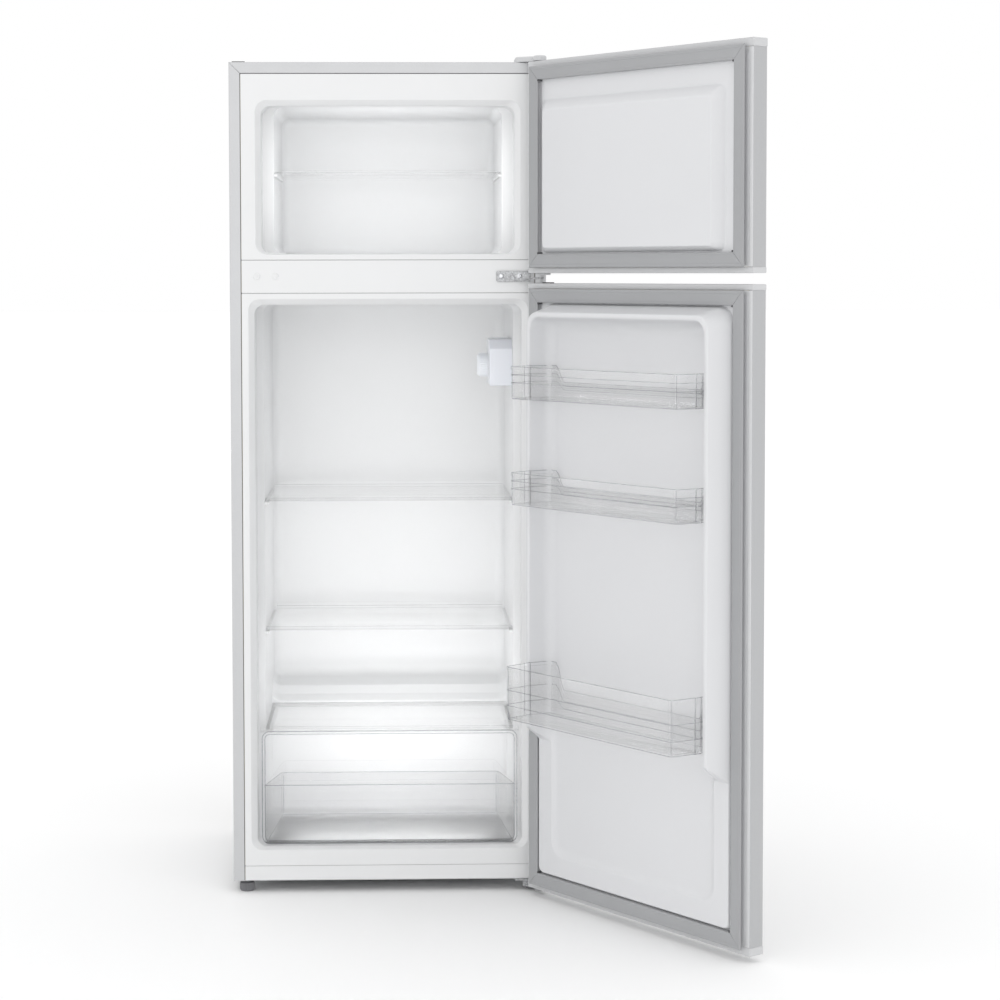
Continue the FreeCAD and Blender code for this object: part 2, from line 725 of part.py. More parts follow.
# ---- shelves, crisper, controls ----
def freezer_shelf():
    edge = freezer_mouth - freezer_shoulder - 1.3
    y0, y1 = freezer_neck_depth + 6.0, freezer_depth - 25.0
    outline = [(-edge, y0), (edge, y0), (edge, y1 - 18.0), (edge - 16.0, y1),
               (-edge + 16.0, y1), (-edge, y1 - 18.0)]
    plate = prism_z(outline, freezer_shelf_z - 3.0, freezer_shelf_z)
    lip = box(-edge + 8.0, edge - 8.0, y0, y0 + 3.0, freezer_shelf_z - 6.0, freezer_shelf_z + 2.5)
    rear = box(-edge + 18.0, edge - 18.0, y1 - 3.0, y1, freezer_shelf_z - 6.0, freezer_shelf_z + 10.0)
    return fuse([plate, lip, rear])


def shelf_glass(top):
    edge = fridge_inner - shelf_clearance
    y1 = fridge_depth - shelf_rear_gap
    return box(-edge + 1.0, edge - 1.0, shelf_front + 2.0, y1 - 2.0, top - 1.2 - glass, top - 1.2)


def shelf_trim(top):
    edge = fridge_inner - shelf_clearance
    y1 = fridge_depth - shelf_rear_gap
    front = box(-edge, edge, shelf_front, shelf_front + 14.0, top - shelf_trim_height, top)
    rear = box(-edge + 6.0, edge - 6.0, y1 - 12.0, y1, top - shelf_trim_height, top + 5.0)
    glass_slot = box(-edge + 0.9, edge - 0.9, shelf_front + 1.9, y1 - 1.9, top - 1.3 - glass, top - 1.1)
    return [front.cut(glass_slot), rear.cut(glass_slot)]


def crisper_cover_glass():
    edge = fridge_inner - 2.0
    return box(-edge, edge, 52.0, hump_front - 7.0, cover_top - 1.0 - glass, cover_top - 1.0)


def crisper_cover_trim():
    edge = fridge_inner - 2.0
    low = cover_top - glass - 1.0 - 2.5
    front = box(-fridge_mouth + 4.0, fridge_mouth - 4.0, crisper_front_y + 16.0, 60.0, low, cover_top)
    rear = box(-edge, edge, hump_front - 14.0, hump_front - 5.0, low, cover_top)
    rails = []
    for side in (-1, 1):
        x0, x1 = sorted((side * (edge - 12.0), side * edge))
        rails.append(box(x0, x1, 55.0, hump_front - 8.0, low, cover_top - glass - 1.0))
    slot = box(-edge - 0.1, edge + 0.1, 51.9, hump_front - 6.9, cover_top - 1.0 - glass, cover_top - 0.9)
    return fuse([front, rear] + rails).cut(slot)


def crisper_drawer():
    edge = fridge_mouth - 7.0
    y0 = crisper_front_y
    y1 = y0 + crisper_depth
    back_edge = edge - crisper_taper - 3.0
    z0 = crisper_bottom
    panel = plate_y(-edge, edge, z0, crisper_top, 13.0, y0, y0 + 5.5)
    recess = plate_y(-edge + 6.0, edge - 6.0, z0 + 6.0, crisper_top - 6.0, 9.0, y0 - 1.0, y0 + 2.5)
    panel = panel.cut(recess)

    def plan(inset):
        front = y0 + 5.0 + inset / 4
        return [(-edge + 4.0 + inset, front), (edge - 4.0 - inset, front),
                (back_edge - inset, y1 - inset), (-back_edge + inset, y1 - inset)]

    tub = prism_z(plan(0.0), z0, z0 + crisper_side_height)
    inside = prism_z(plan(crisper_wall), z0 + crisper_wall, z0 + crisper_side_height + 1.0)
    slope = prism_x([(y0, z0 + crisper_side_height), (y1 + 1.0, z0 + crisper_side_height - 24.0),
                     (y1 + 1.0, z0 + crisper_side_height + 5.0), (y0, z0 + crisper_side_height + 5.0)],
                    -edge, edge)
    tub = tub.cut(slope)
    return fuse([panel, tub.cut(inside)])


def control_shape(y0, y1, wall):
    """Box on the right wall with a sloping front top edge; hollow and open towards the wall."""
    x0, x1 = control_inner_x, fridge_inner - 0.3
    outline = [(y0, control_bottom), (y1, control_bottom), (y1, control_top), (y0 + 18.0, control_top),
               (y0, control_top - 16.0)]
    inner = [(y0 + wall, control_bottom + wall), (y1 - wall, control_bottom + wall),
             (y1 - wall, control_top - wall),
             (y0 + 18.0 + wall / 2, control_top - wall), (y0 + wall, control_top - 16.0 - wall / 2)]
    return prism_x(outline, x0, x1).cut(prism_x(inner, x0 + wall, x1 + 1.0))


def control_box():
    y0 = control_y + lens_depth
    x0, x1 = control_inner_x, fridge_inner - 0.3
    outer = box(x0, x1, y0 + 0.3, y0 + housing_depth, control_bottom, control_top)
    inner = box(x0 + 2.0, x1 + 1.0, y0 + 2.3, y0 + housing_depth - 2.0,
                control_bottom + 2.0, control_top - 2.0)
    shaft = rod(x0 - 1.0, knob_y, knob_z, 3.0 + running_gap + 0.03, 5.0, (1, 0, 0))
    socket = rod(x0 + 22.0, y0 + 2.3, lamp_z, 9.0, 12.0, (0, 1, 0))
    port = rod(x0 + 22.0, y0 - 1.0, lamp_z, 7.0, 30.0, (0, 1, 0))
    return fuse([outer.cut(inner), socket]).cut(Part.makeCompound([shaft, port]))


def lamp_lens():
    shape = control_shape(control_y, control_y + lens_depth, 1.6)
    opening = box(control_inner_x + 1.6, fridge_inner + 1.0, control_y + lens_depth - 3.0,
                  control_y + lens_depth + 1.0, control_bottom + 1.6, control_top - 1.6)
    return shape.cut(opening)


def lamp_bulb():
    x = control_inner_x + 22.0
    y = control_y + lens_depth
    globe = Part.makeSphere(11.0, Vector(x, y - 22.0, lamp_z))
    neck = rod(x, y - 14.0, lamp_z, 6.6, 24.0, (0, 1, 0))
    return fuse([globe, neck])


def control_knob():
    x0 = control_inner_x - 0.6
    disc = rod(x0 - 16.0, knob_y, knob_z, 21.4, 16.0, (1, 0, 0))
    shaft = rod(x0 - 1.0, knob_y, knob_z, 3.0, 6.0, (1, 0, 0))
    grip = box(x0 - 18.0, x0 - 15.0, knob_y - 4.0, knob_y + 4.0, knob_z - 19.0, knob_z + 19.0)
    return fuse([disc, shaft, grip])


# ---- feet and machine compartment ----
def levelling_foot(side):
    pad = rod(side * foot_x, foot_y, 0.0, foot_radius, foot_height)
    stud = rod(side * foot_x, foot_y, foot_height - 1.0, stud_radius, base_z + 24.0 - foot_height)
    return fuse([pad, stud])


def rear_feet():
    y = cabinet_depth - 22.0
    blocks = []
    for side in (-1, 1):
        x = side * foot_x
        blocks.append(box(x - 13.0, x + 13.0, y - 13.0, y + 13.0, 0.0, base_z))
    return blocks


tray_edge = half_width - sheet - bay_cheek - base_sheet - face_gap
machine_y = cabinet_depth - compressor_setback
compressor_low = base_z + tray_sheet + mount_height + 3.0
compressor_high = compressor_low + compressor_size[2]


def compressor_tray():
    y0, y1 = bay_front + 0.4, cabinet_depth + tray_overhang
    plate = box(-tray_edge, tray_edge, y0, y1, base_z, base_z + tray_sheet)
    lip = box(-tray_edge, tray_edge, y1 - tray_sheet, y1, base_z, base_z + 14.0)
    return fuse([plate, lip])


def mount_points():
    dx, dy = compressor_size[0] / 2 - 5.0, compressor_size[1] / 2 - 20.0
    return [(compressor_x + a * dx, machine_y + b * dy) for a in (-1, 1) for b in (-1, 1)]


def compressor():
    sx, sy, sz = compressor_size
    can = box(compressor_x - sx / 2, compressor_x + sx / 2, machine_y - sy / 2, machine_y + sy / 2,
              compressor_low, compressor_high)
    can = fillet_edges(can, sy / 2 - 2.0, upright)
    rim = [e for e in can.Edges if abs(e.BoundBox.ZMax - e.BoundBox.ZMin) < 0.01]
    can = can.makeFillet(22.0, rim)
    foot = box(compressor_x - sx / 2 - 15.0, compressor_x + sx / 2 + 15.0, machine_y - sy / 2 + 8.0,
               machine_y + sy / 2 - 8.0, compressor_low - 3.0, compressor_low)
    neck = rod(compressor_x, machine_y, compressor_low - 1.0, 38.0, 30.0)
    return fuse([can, foot, neck])


def compressor_mounts():
    z = base_z + tray_sheet
    return [rod(x, y, z, 10.0, mount_height) for x, y in mount_points()]


def relay_box():
    x = compressor_x + compressor_size[0] / 2 + 0.4
    block = box(x, x + 24.0, machine_y - 22.0, machine_y + 22.0, compressor_low + 30.0, compressor_low + 82.0)
    return fillet_edges(block, 3.0, upright)


def drip_tray():
    z = compressor_high
    x0, x1 = compressor_x - 80.0, compressor_x + 80.0
    y0, y1 = machine_y - 46.0, machine_y + 46.0
    outer = box(x0, x1, y0, y1, z, z + 20.0)
    inner = box(x0 + 2.0, x1 - 2.0, y0 + 2.0, y1 - 2.0, z + 2.0, z + 21.0)
    return fillet_edges(outer, 6.0, upright).cut(fillet_edges(inner, 4.0, upright))


def drain_tube():
    x, y = compressor_x - 55.0, machine_y + 20.0
    low = compressor_high + 12.0
    return rod(x, y, low, 6.0, bay_top - low).cut(rod(x, y, low - 1.0, 4.5, bay_top - low + 2.0))


condenser_y = cabinet_depth + condenser_offset
condenser_low = bay_top + 38.0
condenser_high = top_z - 60.0
row_pitch = (condenser_high - condenser_low) / (condenser_rows - 1)
condenser_run = half_width - 45.0 - row_pitch / 2


def condenser_tube():
    pieces = []
    for row in range(condenser_rows):
        z = condenser_low + row * row_pitch
        straight = rod(-condenser_run, condenser_y, z, condenser_tube_radius, 2 * condenser_run, (1, 0, 0))
        pieces.append(straight)
        if row + 1 < condenser_rows:
            side = 1 if row % 2 == 0 else -1
            x = side * condenser_run
            circle = Part.makeCircle(condenser_tube_radius, Vector(x, condenser_y, z), Vector(1, 0, 0))
            bend_centre = Vector(x, condenser_y, z + row_pitch / 2)
            pieces.append(Part.Face(Part.Wire(circle)).revolve(bend_centre, Vector(0, -side, 0), 180))
    return fuse(pieces)


def condenser_wire_set():
    y = condenser_y + condenser_tube_radius + 0.2
    wires = []
    for index in range(condenser_wires):
        x = -condenser_run + 8.0 + (2 * condenser_run - 16.0) * index / (condenser_wires - 1)
        wires.append(box(x - wire_size / 2, x + wire_size / 2, y, y + wire_size,
                         condenser_low - 12.0, condenser_high + 12.0))
    return wires


def condenser_brackets():
    brackets = []
    depth = condenser_offset - condenser_tube_radius - 0.3
    for row in (1, condenser_rows - 2):
        z = condenser_low + row * row_pitch
        for side in (-1, 1):
            x = side * (condenser_run - 20.0)
            arm = box(x - 6.0, x + 6.0, cabinet_depth, cabinet_depth + depth, z - 9.0, z + 9.0)
            pad = box(x - 14.0, x + 14.0, cabinet_depth, cabinet_depth + 2.0, z - 16.0, z + 16.0)
            brackets.append(fuse([arm, pad]))
    return brackets


drier_x = -half_width + 105.0
drier_y = cabinet_depth - 24.0
drier_low = base_z + 42.0
drier_length = 90.0


def filter_drier():
    barrel = rod(drier_x, drier_y, drier_low + 8.0, 9.0, drier_length - 16.0)
    neck = rod(drier_x, drier_y, drier_low, 4.0, drier_length)
    return fuse([barrel, neck])


def pipes():
    left = compressor_x - compressor_size[0] / 2 - 0.3
    right = compressor_x + compressor_size[0] / 2 + 0.3
    high = compressor_low + 105.0
    side = -condenser_run - 22.0
    outer_side = -half_width + 30.0
    run_y = machine_y
    discharge = tube([(left, run_y, high), (side, run_y, high), (side, condenser_y, high),
                      (side, condenser_y, condenser_low), (-condenser_run, condenser_y, condenser_low)],
                     pipe_radius)
    drier_top = drier_low + drier_length
    liquid = tube([(-condenser_run, condenser_y, condenser_high), (outer_side, condenser_y, condenser_high),
                   (outer_side, condenser_y, drier_top + 22.0), (outer_side, drier_y, drier_top + 22.0),
                   (drier_x, drier_y, drier_top + 22.0), (drier_x, drier_y, drier_top)], pipe_radius)
    capillary = tube([(drier_x, drier_y, drier_low), (drier_x, drier_y, drier_low - 14.0),
                      (drier_x + 70.0, drier_y, drier_low - 14.0), (drier_x + 70.0, drier_y, bay_top)], 1.5)
    suction = tube([(right, run_y, high), (right + 30.0, run_y, high), (right + 30.0, run_y, bay_top)], 4.0)
    return [discharge, liquid, capillary, suction]


# ---- everything, by node ----
save("cabinet_shell", cabinet_shell())
save("back_panel", box(-half_width + sheet, half_width - sheet, back_y, cabinet_depth,
                       bay_top, top_z - sheet))
save("base_plate", base_plate())
save("cabinet_foam", cabinet_foam())
save("freezer_liner", freezer_liner())
save("fridge_liner", fridge_liner())
save("mullion_cover", mullion_cover())
save("front_sill", front_sill())
save("evaporator_plate", box(*evaporator_box(0.0)))
save("hinge_top", hinge_top())
save("hinge_middle", hinge_middle())
save("hinge_bottom", hinge_bottom())
save("hinge_screws", hinge_screws())
save("hinge_cover", hinge_cover())
save("hole_plugs", hole_plugs())
save("top_hole_cover", top_hole_cover())

for node, shape in list(freezer_door().items()) + list(fridge_door().items()):
    save(node, place(shape))
for node, level, height, depth in (("bin_top", top_bin_z, small_bin_height, small_bin_depth),
                                   ("bin_middle", middle_bin_z, small_bin_height, small_bin_depth),
                                   ("bin_bottle", bottle_bin_z, bottle_bin_height, bottle_bin_depth)):
    save(node, place(door_bin(level, height, depth)))

save("freezer_shelf", freezer_shelf())
for node, level in (("shelf_lower", lower_shelf_top), ("shelf_upper", upper_shelf_top)):
    save(node + "_glass", shelf_glass(level))
    save(node + "_trim", shelf_trim(level))
save("crisper_cover_glass", crisper_cover_glass())
save("crisper_cover_trim", crisper_cover_trim())
save("crisper_drawer", crisper_drawer())
save("control_box", control_box())
save("lamp_lens", lamp_lens())
save("lamp_bulb", lamp_bulb())
save("control_knob", control_knob())

save("foot_left", levelling_foot(-1))
save("foot_right", levelling_foot(1))
save("rear_feet", rear_feet())
save("compressor_tray", compressor_tray())
save("compressor", compressor())
save("compressor_mounts", compressor_mounts())
save("relay_box", relay_box())
save("drip_tray", drip_tray())
save("drain_tube", drain_tube())
save("condenser_tube", condenser_tube())
save("condenser_wires", condenser_wire_set())
save("condenser_brackets", condenser_brackets())
save("filter_drier", filter_drier())
save("pipes", pipes())
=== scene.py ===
import math

import bmesh
import bpy
from mathutils import Matrix, Vector
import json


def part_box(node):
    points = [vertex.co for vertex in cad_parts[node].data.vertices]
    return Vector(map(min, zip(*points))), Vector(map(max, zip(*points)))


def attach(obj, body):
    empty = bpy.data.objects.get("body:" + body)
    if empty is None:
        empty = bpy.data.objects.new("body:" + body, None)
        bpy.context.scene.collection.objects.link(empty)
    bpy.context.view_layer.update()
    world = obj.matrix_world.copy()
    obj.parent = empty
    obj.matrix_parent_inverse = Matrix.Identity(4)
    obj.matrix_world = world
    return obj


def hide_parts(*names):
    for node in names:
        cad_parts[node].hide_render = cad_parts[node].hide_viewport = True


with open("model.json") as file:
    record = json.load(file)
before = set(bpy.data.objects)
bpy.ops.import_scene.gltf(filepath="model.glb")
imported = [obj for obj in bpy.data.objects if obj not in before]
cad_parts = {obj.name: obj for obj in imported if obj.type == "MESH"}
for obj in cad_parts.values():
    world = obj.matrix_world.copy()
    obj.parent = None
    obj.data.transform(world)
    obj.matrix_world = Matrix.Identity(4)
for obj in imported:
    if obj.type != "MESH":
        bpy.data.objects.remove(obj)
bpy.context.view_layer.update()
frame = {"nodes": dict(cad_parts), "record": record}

# Top freezer refrigerator.  Sizes are in millimetres; meshes are scaled to metres as they are made.
# X runs across, Y runs back from the cabinet's front face, Z is up.
# Everything on the doors is drawn closed, then turned with its door to the rest opening.
MM = 0.001


def cad_low_high(node):
    low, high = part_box(node)
    return low / MM, high / MM


# ---- lines taken from the frame ----
shell_low, shell_high = cad_low_high("cabinet_shell")
half_width = shell_high.x
depth = shell_high.y
base_z = shell_low.z
top_z = shell_high.z
mullion_low, mullion_high = cad_low_high("mullion_cover")
fridge_ceiling = mullion_low.z - 20.0
freezer_floor = mullion_high.z + 11.0
freezer_ceiling = freezer_floor + 253.5
flange = 19.3
sill_top = cad_low_high("front_sill")[1].z
crisper_low, crisper_high = cad_low_high("crisper_drawer")
fridge_floor = crisper_low.z - 0.8
face_edge = half_width - flange
lining_edge = face_edge - 0.8
door_inner = -10.0
door_outer = -40.0
rest_opening = 126.0
hinge_axis = Vector((half_width - 12.5, -25.0, 0.0))
bracket_reaches = (194.7, 226.0)
bracket_level = 1073.0
bracket_thick = 3.0

# ---- compartments ----
freezer_mouth = 218.5
freezer_inner = 199.0
freezer_depth = 370.0
fridge_mouth = 231.0
fridge_inner = 219.5
fridge_depth = 400.0
rim_bevel = 9.8
shoulder = 60.0          # where the freezer's walls step in
shoulder_back = 64.0
fridge_shoulder = 62.0   # where the fridge's walls start to lean in
fridge_shoulder_back = 80.0
hump_front = 300.0
hump_top = base_z + 262.0

# ---- doors ----
gasket_inset = 9.5
gasket_side = 12.0
gasket_width = 24.0
dike_inset = gasket_side + gasket_width + 1.0
dike_height = 48.0
dike_low = 9.0
pocket_level = 4.9
thin_cap, thick_cap = 9.5, 13.5
lining_inset = 9.8


# ---- outlines ----
def rect(a0, a1, b0, b1):
    return [(a0, b0), (a1, b0), (a1, b1), (a0, b1)]


def mirrored(near, far):
    """The span from near to far on the left side, then on the right."""
    return (-far, -near), (near, far)


def rounded_line(points, radii, steps=5, closed=False):
    """A line whose corners are eased: each inner point gets an arc of its own radius."""
    count = len(points)
    line = []
    for index in range(count):
        corner = Vector(points[index])
        if not closed and index in (0, count - 1):
            line.append(tuple(corner))
            continue
        before = Vector(points[index - 1]) - corner
        after = Vector(points[(index + 1) % count]) - corner
        radius = radii[index] if hasattr(radii, "__len__") else radii
        opening = before.angle(after)
        reach = radius / math.tan(opening / 2) if opening > 0.01 else 0.0
        reach = min(max(reach, radius * 0.2), before.length * 0.49, after.length * 0.49)
        start = corner + before.normalized() * reach
        end = corner + after.normalized() * reach
        for step in range(steps + 1):
            t = step / steps
            line.append(tuple((1 - t) ** 2 * start + 2 * t * (1 - t) * corner + t * t * end))
    return line


def offset_loop(points, distance, closed=True):
    """Moves a flat line to its left by the distance."""
    moved = []
    count = len(points)
    for index, point in enumerate(points):
        here = Vector(point)
        normals = []
        for a, b in ((index - 1, index), (index, index + 1)):
            if closed or (a >= 0 and b < count):
                run = Vector(points[b % count]) - Vector(points[a])
                if run.length > 1e-6:
                    normals.append(Vector((-run.y, run.x)).normalized())
        normal = sum(normals, Vector((0.0, 0.0)))
        normal.normalize()
        lean = max(normal.dot(normals[0]), 0.5)
        moved.append(tuple(here + normal * distance / lean))
    return moved


def round_rect(x0, x1, z0, z1, radius, steps=6, stops=()):
    """A rounded rectangle as flat points, anticlockwise from the lower right; stops are extra levels."""
    low, high = radius if hasattr(radius, "__len__") else (radius, radius)
    corners = [(x1 - low, z0 + low, 270, low), (x1 - high, z1 - high, 0, high),
               (x0 + high, z1 - high, 90, high), (x0 + low, z0 + low, 180, low)]
    points = []
    for index, (cx, cz, start, radius) in enumerate(corners):
        for step in range(steps + 1):
            angle = math.radians(start + 90 * step / steps)
            points.append((cx + radius * math.cos(angle), cz + radius * math.sin(angle)))
        if index == 0:
            points += [(x1, z) for z in stops]
        if index == 2:
            points += [(x0, z) for z in reversed(stops)]
    return points


# ---- forms: points and faces in millimetres ----
class Form:
    def __init__(self):
        self.points = []
        self.faces = []

    def add(self, points, faces):
        start = len(self.points)
        self.points += [tuple(p) for p in points]
        self.faces += [[i + start for i in face] for face in faces]
        return self

    def join(self, *others):
        for other in others:
            self.add(other.points, other.faces)
        return self

    def moved(self, matrix):
        self.points = [tuple(matrix @ Vector(p)) for p in self.points]
        return self


def loft(rings, caps=True, hoop=False):
    """Closed rings of equal count joined in order; the first and last are filled, or joined to make a hoop."""
    count = len(rings[0])
    faces = []
    for level in range(len(rings) if hoop else len(rings) - 1):
        after = (level + 1) % len(rings)
        for i in range(count):
            j = (i + 1) % count
            faces.append([level * count + i, level * count + j, after * count + j, after * count + i])
    if caps and not hoop:
        last = (len(rings) - 1) * count
        faces.append(list(range(count))[::-1])
        faces.append([last + i for i in range(count)])
    return Form().add([p for ring in rings for p in ring], faces)


def block(x0, x1, y0, y1, z0, z1):
    return loft([[(x, y, z) for x, y in rect(x0, x1, y0, y1)] for z in (z0, z1)])


def placed(axis, a, b, level):
    """A flat point pushed along an axis: (y, z) for x, (x, z) for y, (x, y) for z."""
    return {"x": (level, a, b), "y": (a, level, b), "z": (a, b, level)}[axis]


def prism(outline, low, high, axis="z"):
    """A flat outline pushed along an axis."""
    return loft([[placed(axis, a, b, level) for a, b in outline] for level in (low, high)])


def layered(outline, levels, axis="z"):
    """A flat outline drawn in by an inset at each level along an axis; levels are (inset, level)."""
    return loft([[placed(axis, a, b, level) for a, b in offset_loop(outline, inset)] for inset, level in levels])


def framed(x0, x1, z0, z1, levels, radius, steps=6, stops=()):
    """Upright rounded rectangles drawn in by an inset at each depth; levels are (inset, y)."""
    return [[(x, y, z) for x, z in round_rect(x0 + inset, x1 - inset, z0 + inset, z1 - inset,
                                              radius(inset) if callable(radius) else radius, steps, stops)]
            for inset, y in levels]


def turned(profile, centre, axis="z", steps=32, reach=None, start=0.0):
    """A lathe form closed at both ends; profile is (radius, height), plus a share where reach shapes the rim."""
    rings = []
    for radius, height, *share in profile:
        ring = []
        for step in range(steps):
            angle = math.tau * (step + start) / steps
            r = reach(radius, angle, *share) if reach else radius
            ring.append(tuple(Vector(placed(axis, r * math.cos(angle), r * math.sin(angle), height))
                              + Vector(centre)))
        rings.append(ring)
    return loft(rings)


# ---- pieces ----
LOOKS = {}
door_turn = (Matrix.Translation(hinge_axis) @ Matrix.Rotation(math.radians(rest_opening), 4, "Z")
             @ Matrix.Translation(-hinge_axis))


def linked(name, data):
    obj = bpy.data.objects.new(name, data)
    bpy.context.scene.collection.objects.link(obj)
    return obj


def solid(name, form, finish=None):
    """An object in metres from a form, with merged points and outward faces; finish may work on its mesh."""
    mesh = bpy.data.meshes.new(name)
    mesh.from_pydata([Vector(p) * MM for p in form.points], [], form.faces)
    bm = bmesh.new()
    bm.from_mesh(mesh)
    bmesh.ops.remove_doubles(bm, verts=bm.verts, dist=1e-6)
    bmesh.ops.dissolve_degenerate(bm, edges=bm.edges, dist=1e-6)
    bmesh.ops.recalc_face_normals(bm, faces=bm.faces)
    if finish:
        finish(bm)
    bm.to_mesh(mesh)
    bm.free()
    return linked(name, mesh)


def piece(name, form, slot, body, nodes=(), bevel=0.0, bevel_angle=30, smooth=35, look=None):
    """Makes one visible piece, rides it on its body and lets it stand for its CAD nodes."""
    if body.endswith("_door") or body.startswith("bin_"):
        form.moved(door_turn)

    def finish(bm):
        if bevel:
            sharp = [e for e in bm.edges if e.is_manifold and e.calc_face_angle() > math.radians(bevel_angle)]
            bmesh.ops.bevel(bm, geom=sharp, offset=bevel * MM, segments=2, profile=0.5,
                            affect="EDGES", clamp_overlap=True)
        for face in bm.faces:
            face.smooth = True
        for edge in bm.edges:
            edge.smooth = not edge.is_manifold or edge.calc_face_angle() < math.radians(smooth)

    obj = solid(name, form, finish)
    obj.modifiers.new("normals", "WEIGHTED_NORMAL").keep_sharp = True
    obj.data.materials.append(LOOKS[look or slot])
    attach(obj, body)
    if nodes:
        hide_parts(*nodes)
    return obj


# ---- materials ----
class Look:
    """One procedural material: a principled shader and the textures that feed it."""

    def __init__(self, name, color, roughness, metallic=0.0, **numbers):
        self.material = bpy.data.materials.new(name)
        self.material.use_nodes = True
        self.tree = self.material.node_tree
        self.shader = self.tree.nodes["Principled BSDF"]
        self.color = color
        self.set("Base Color", (*color, 1.0))
        self.set("Roughness", roughness)
        self.set("Metallic", metallic)
        self.roughness = roughness
        for key, value in numbers.items():
            self.set(key.replace("_", " "), value)
        self.place = self.tree.nodes.new("ShaderNodeTexCoord").outputs["Object"]
        LOOKS[name] = self.material

    def set(self, socket, value):
        self.shader.inputs[socket].default_value = value

    def link(self, source, target):
        self.tree.links.new(source, target)

    def stretched(self, scale):
        mapping = self.tree.nodes.new("ShaderNodeMapping")
        mapping.inputs["Scale"].default_value = scale
        self.link(self.place, mapping.inputs["Vector"])
        return mapping.outputs["Vector"]

    def noise(self, scale, detail=3.0, stretch=None):
        node = self.tree.nodes.new("ShaderNodeTexNoise")
        node.inputs["Scale"].default_value = scale
        node.inputs["Detail"].default_value = detail
        self.link(self.stretched(stretch) if stretch else self.place, node.inputs["Vector"])
        return node.outputs["Fac"]

    def cells(self, scale, feature="F1", output="Color"):
        node = self.tree.nodes.new("ShaderNodeTexVoronoi")
        node.feature = feature
        node.inputs["Scale"].default_value = scale
        self.link(self.place, node.inputs["Vector"])
        return node.outputs[output]

    def spread(self, source, low, high, start=0.3, end=0.7):
        node = self.tree.nodes.new("ShaderNodeMapRange")
        for socket, value in (("From Min", start), ("From Max", end), ("To Min", low), ("To Max", high)):
            node.inputs[socket].default_value = value
        self.link(source, node.inputs["Value"])
        return node.outputs["Result"]

    def tint(self, source, amount, other=None):
        """Colour that drifts by the amount round the base colour, or towards another colour."""
        node = self.tree.nodes.new("ShaderNodeMix")
        node.data_type = "RGBA"
        first = [c * (1 - amount) for c in self.color] if other is None else self.color
        second = [min(c * (1 + amount), 1.0) for c in self.color] if other is None else other
        node.inputs["A"].default_value = (*first, 1.0)
        node.inputs["B"].default_value = (*second, 1.0)
        self.link(source, node.inputs["Factor"])
        self.link(node.outputs["Result"], self.shader.inputs["Base Color"])
        return self

    def drift(self, scale, detail, amount):
        return self.tint(self.spread(self.noise(scale, detail), 0.0, 1.0), amount)

    def gloss(self, source, amount):
        self.link(self.spread(source, self.roughness - amount, self.roughness + amount),
                  self.shader.inputs["Roughness"])
        return self

    def relief(self, *layers):
        """Bump from (height, strength, distance in mm) layers, one on top of another."""
        normal = None
        for height, strength, distance in layers:
            node = self.tree.nodes.new("ShaderNodeBump")
            node.inputs["Strength"].default_value = strength
            node.inputs["Distance"].default_value = distance * MM
            self.link(height, node.inputs["Height"])
            if normal:
                self.link(normal, node.inputs["Normal"])
            normal = node.outputs["Normal"]
        self.link(normal, self.shader.inputs["Normal"])
        return self


def plain_plastic(name, color, roughness, drift=0.012, grain=0.10, grain_scale=1500.0, **numbers):
    """Moulded plastic: slow colour drift, uneven gloss and a fine skin."""
    look = Look(name, color, roughness, **numbers)
    look.drift(3.2, 2.0, drift)
    look.gloss(look.noise(38.0, 4.0), 0.05)
    look.relief((look.noise(9.0, 1.0), 0.10, 0.6), (look.noise(grain_scale, 2.0), grain, 0.05))


plain_plastic("liner_white", (0.80, 0.805, 0.81), 0.34, Coat_Weight=0.25, Coat_Roughness=0.12)
# A darker copy of the liner white for the door linings: painted shade.
plain_plastic("lining_white_shaded_copy", (0.71, 0.715, 0.73), 0.36, Coat_Weight=0.2, Coat_Roughness=0.12)
plain_plastic("control_white", (0.78, 0.80, 0.83), 0.36, Coat_Weight=0.2, Coat_Roughness=0.1)
plain_plastic("cap_grey", (0.60, 0.605, 0.615), 0.42, grain=0.25, grain_scale=900.0)
plain_plastic("dark_plastic", (0.028, 0.028, 0.031), 0.46, drift=0.2, grain=0.35, grain_scale=700.0)
plain_plastic("foot_grey", (0.20, 0.20, 0.21), 0.48, drift=0.06, grain=0.35, grain_scale=800.0)
plain_plastic("gasket_grey", (0.37, 0.375, 0.385), 0.62, drift=0.03, grain=0.3, grain_scale=600.0,
              Sheen_Weight=0.1)
plain_plastic("mount_rubber", (0.018, 0.018, 0.018), 0.75, drift=0.3, grain=0.5, grain_scale=500.0)


def painted_steel(name, color):
    look = Look(name, color, 0.33, 0.2, Coat_Weight=0.4, Coat_Roughness=0.08)
    flakes = look.cells(2600.0)
    grey = look.tree.nodes.new("ShaderNodeSeparateColor")
    look.link(flakes, grey.inputs["Color"])
    look.tint(look.spread(grey.outputs["Red"], 0.0, 1.0, 0.0, 1.0), 0.035)
    look.gloss(look.noise(24.0, 3.0), 0.04)
    look.relief((look.noise(420.0, 2.0), 0.12, 0.05), (look.noise(6.0, 1.0), 0.06, 0.8))


def back_sheet():
    look = Look("back_sheet", (0.46, 0.465, 0.47), 0.42, 0.35)
    look.drift(5.0, 4.0, 0.05)
    look.gloss(look.noise(60.0, 4.0), 0.07)
    look.relief((look.noise(300.0, 3.0), 0.15, 0.08), (look.noise(2.6, 1.0), 0.25, 2.0))


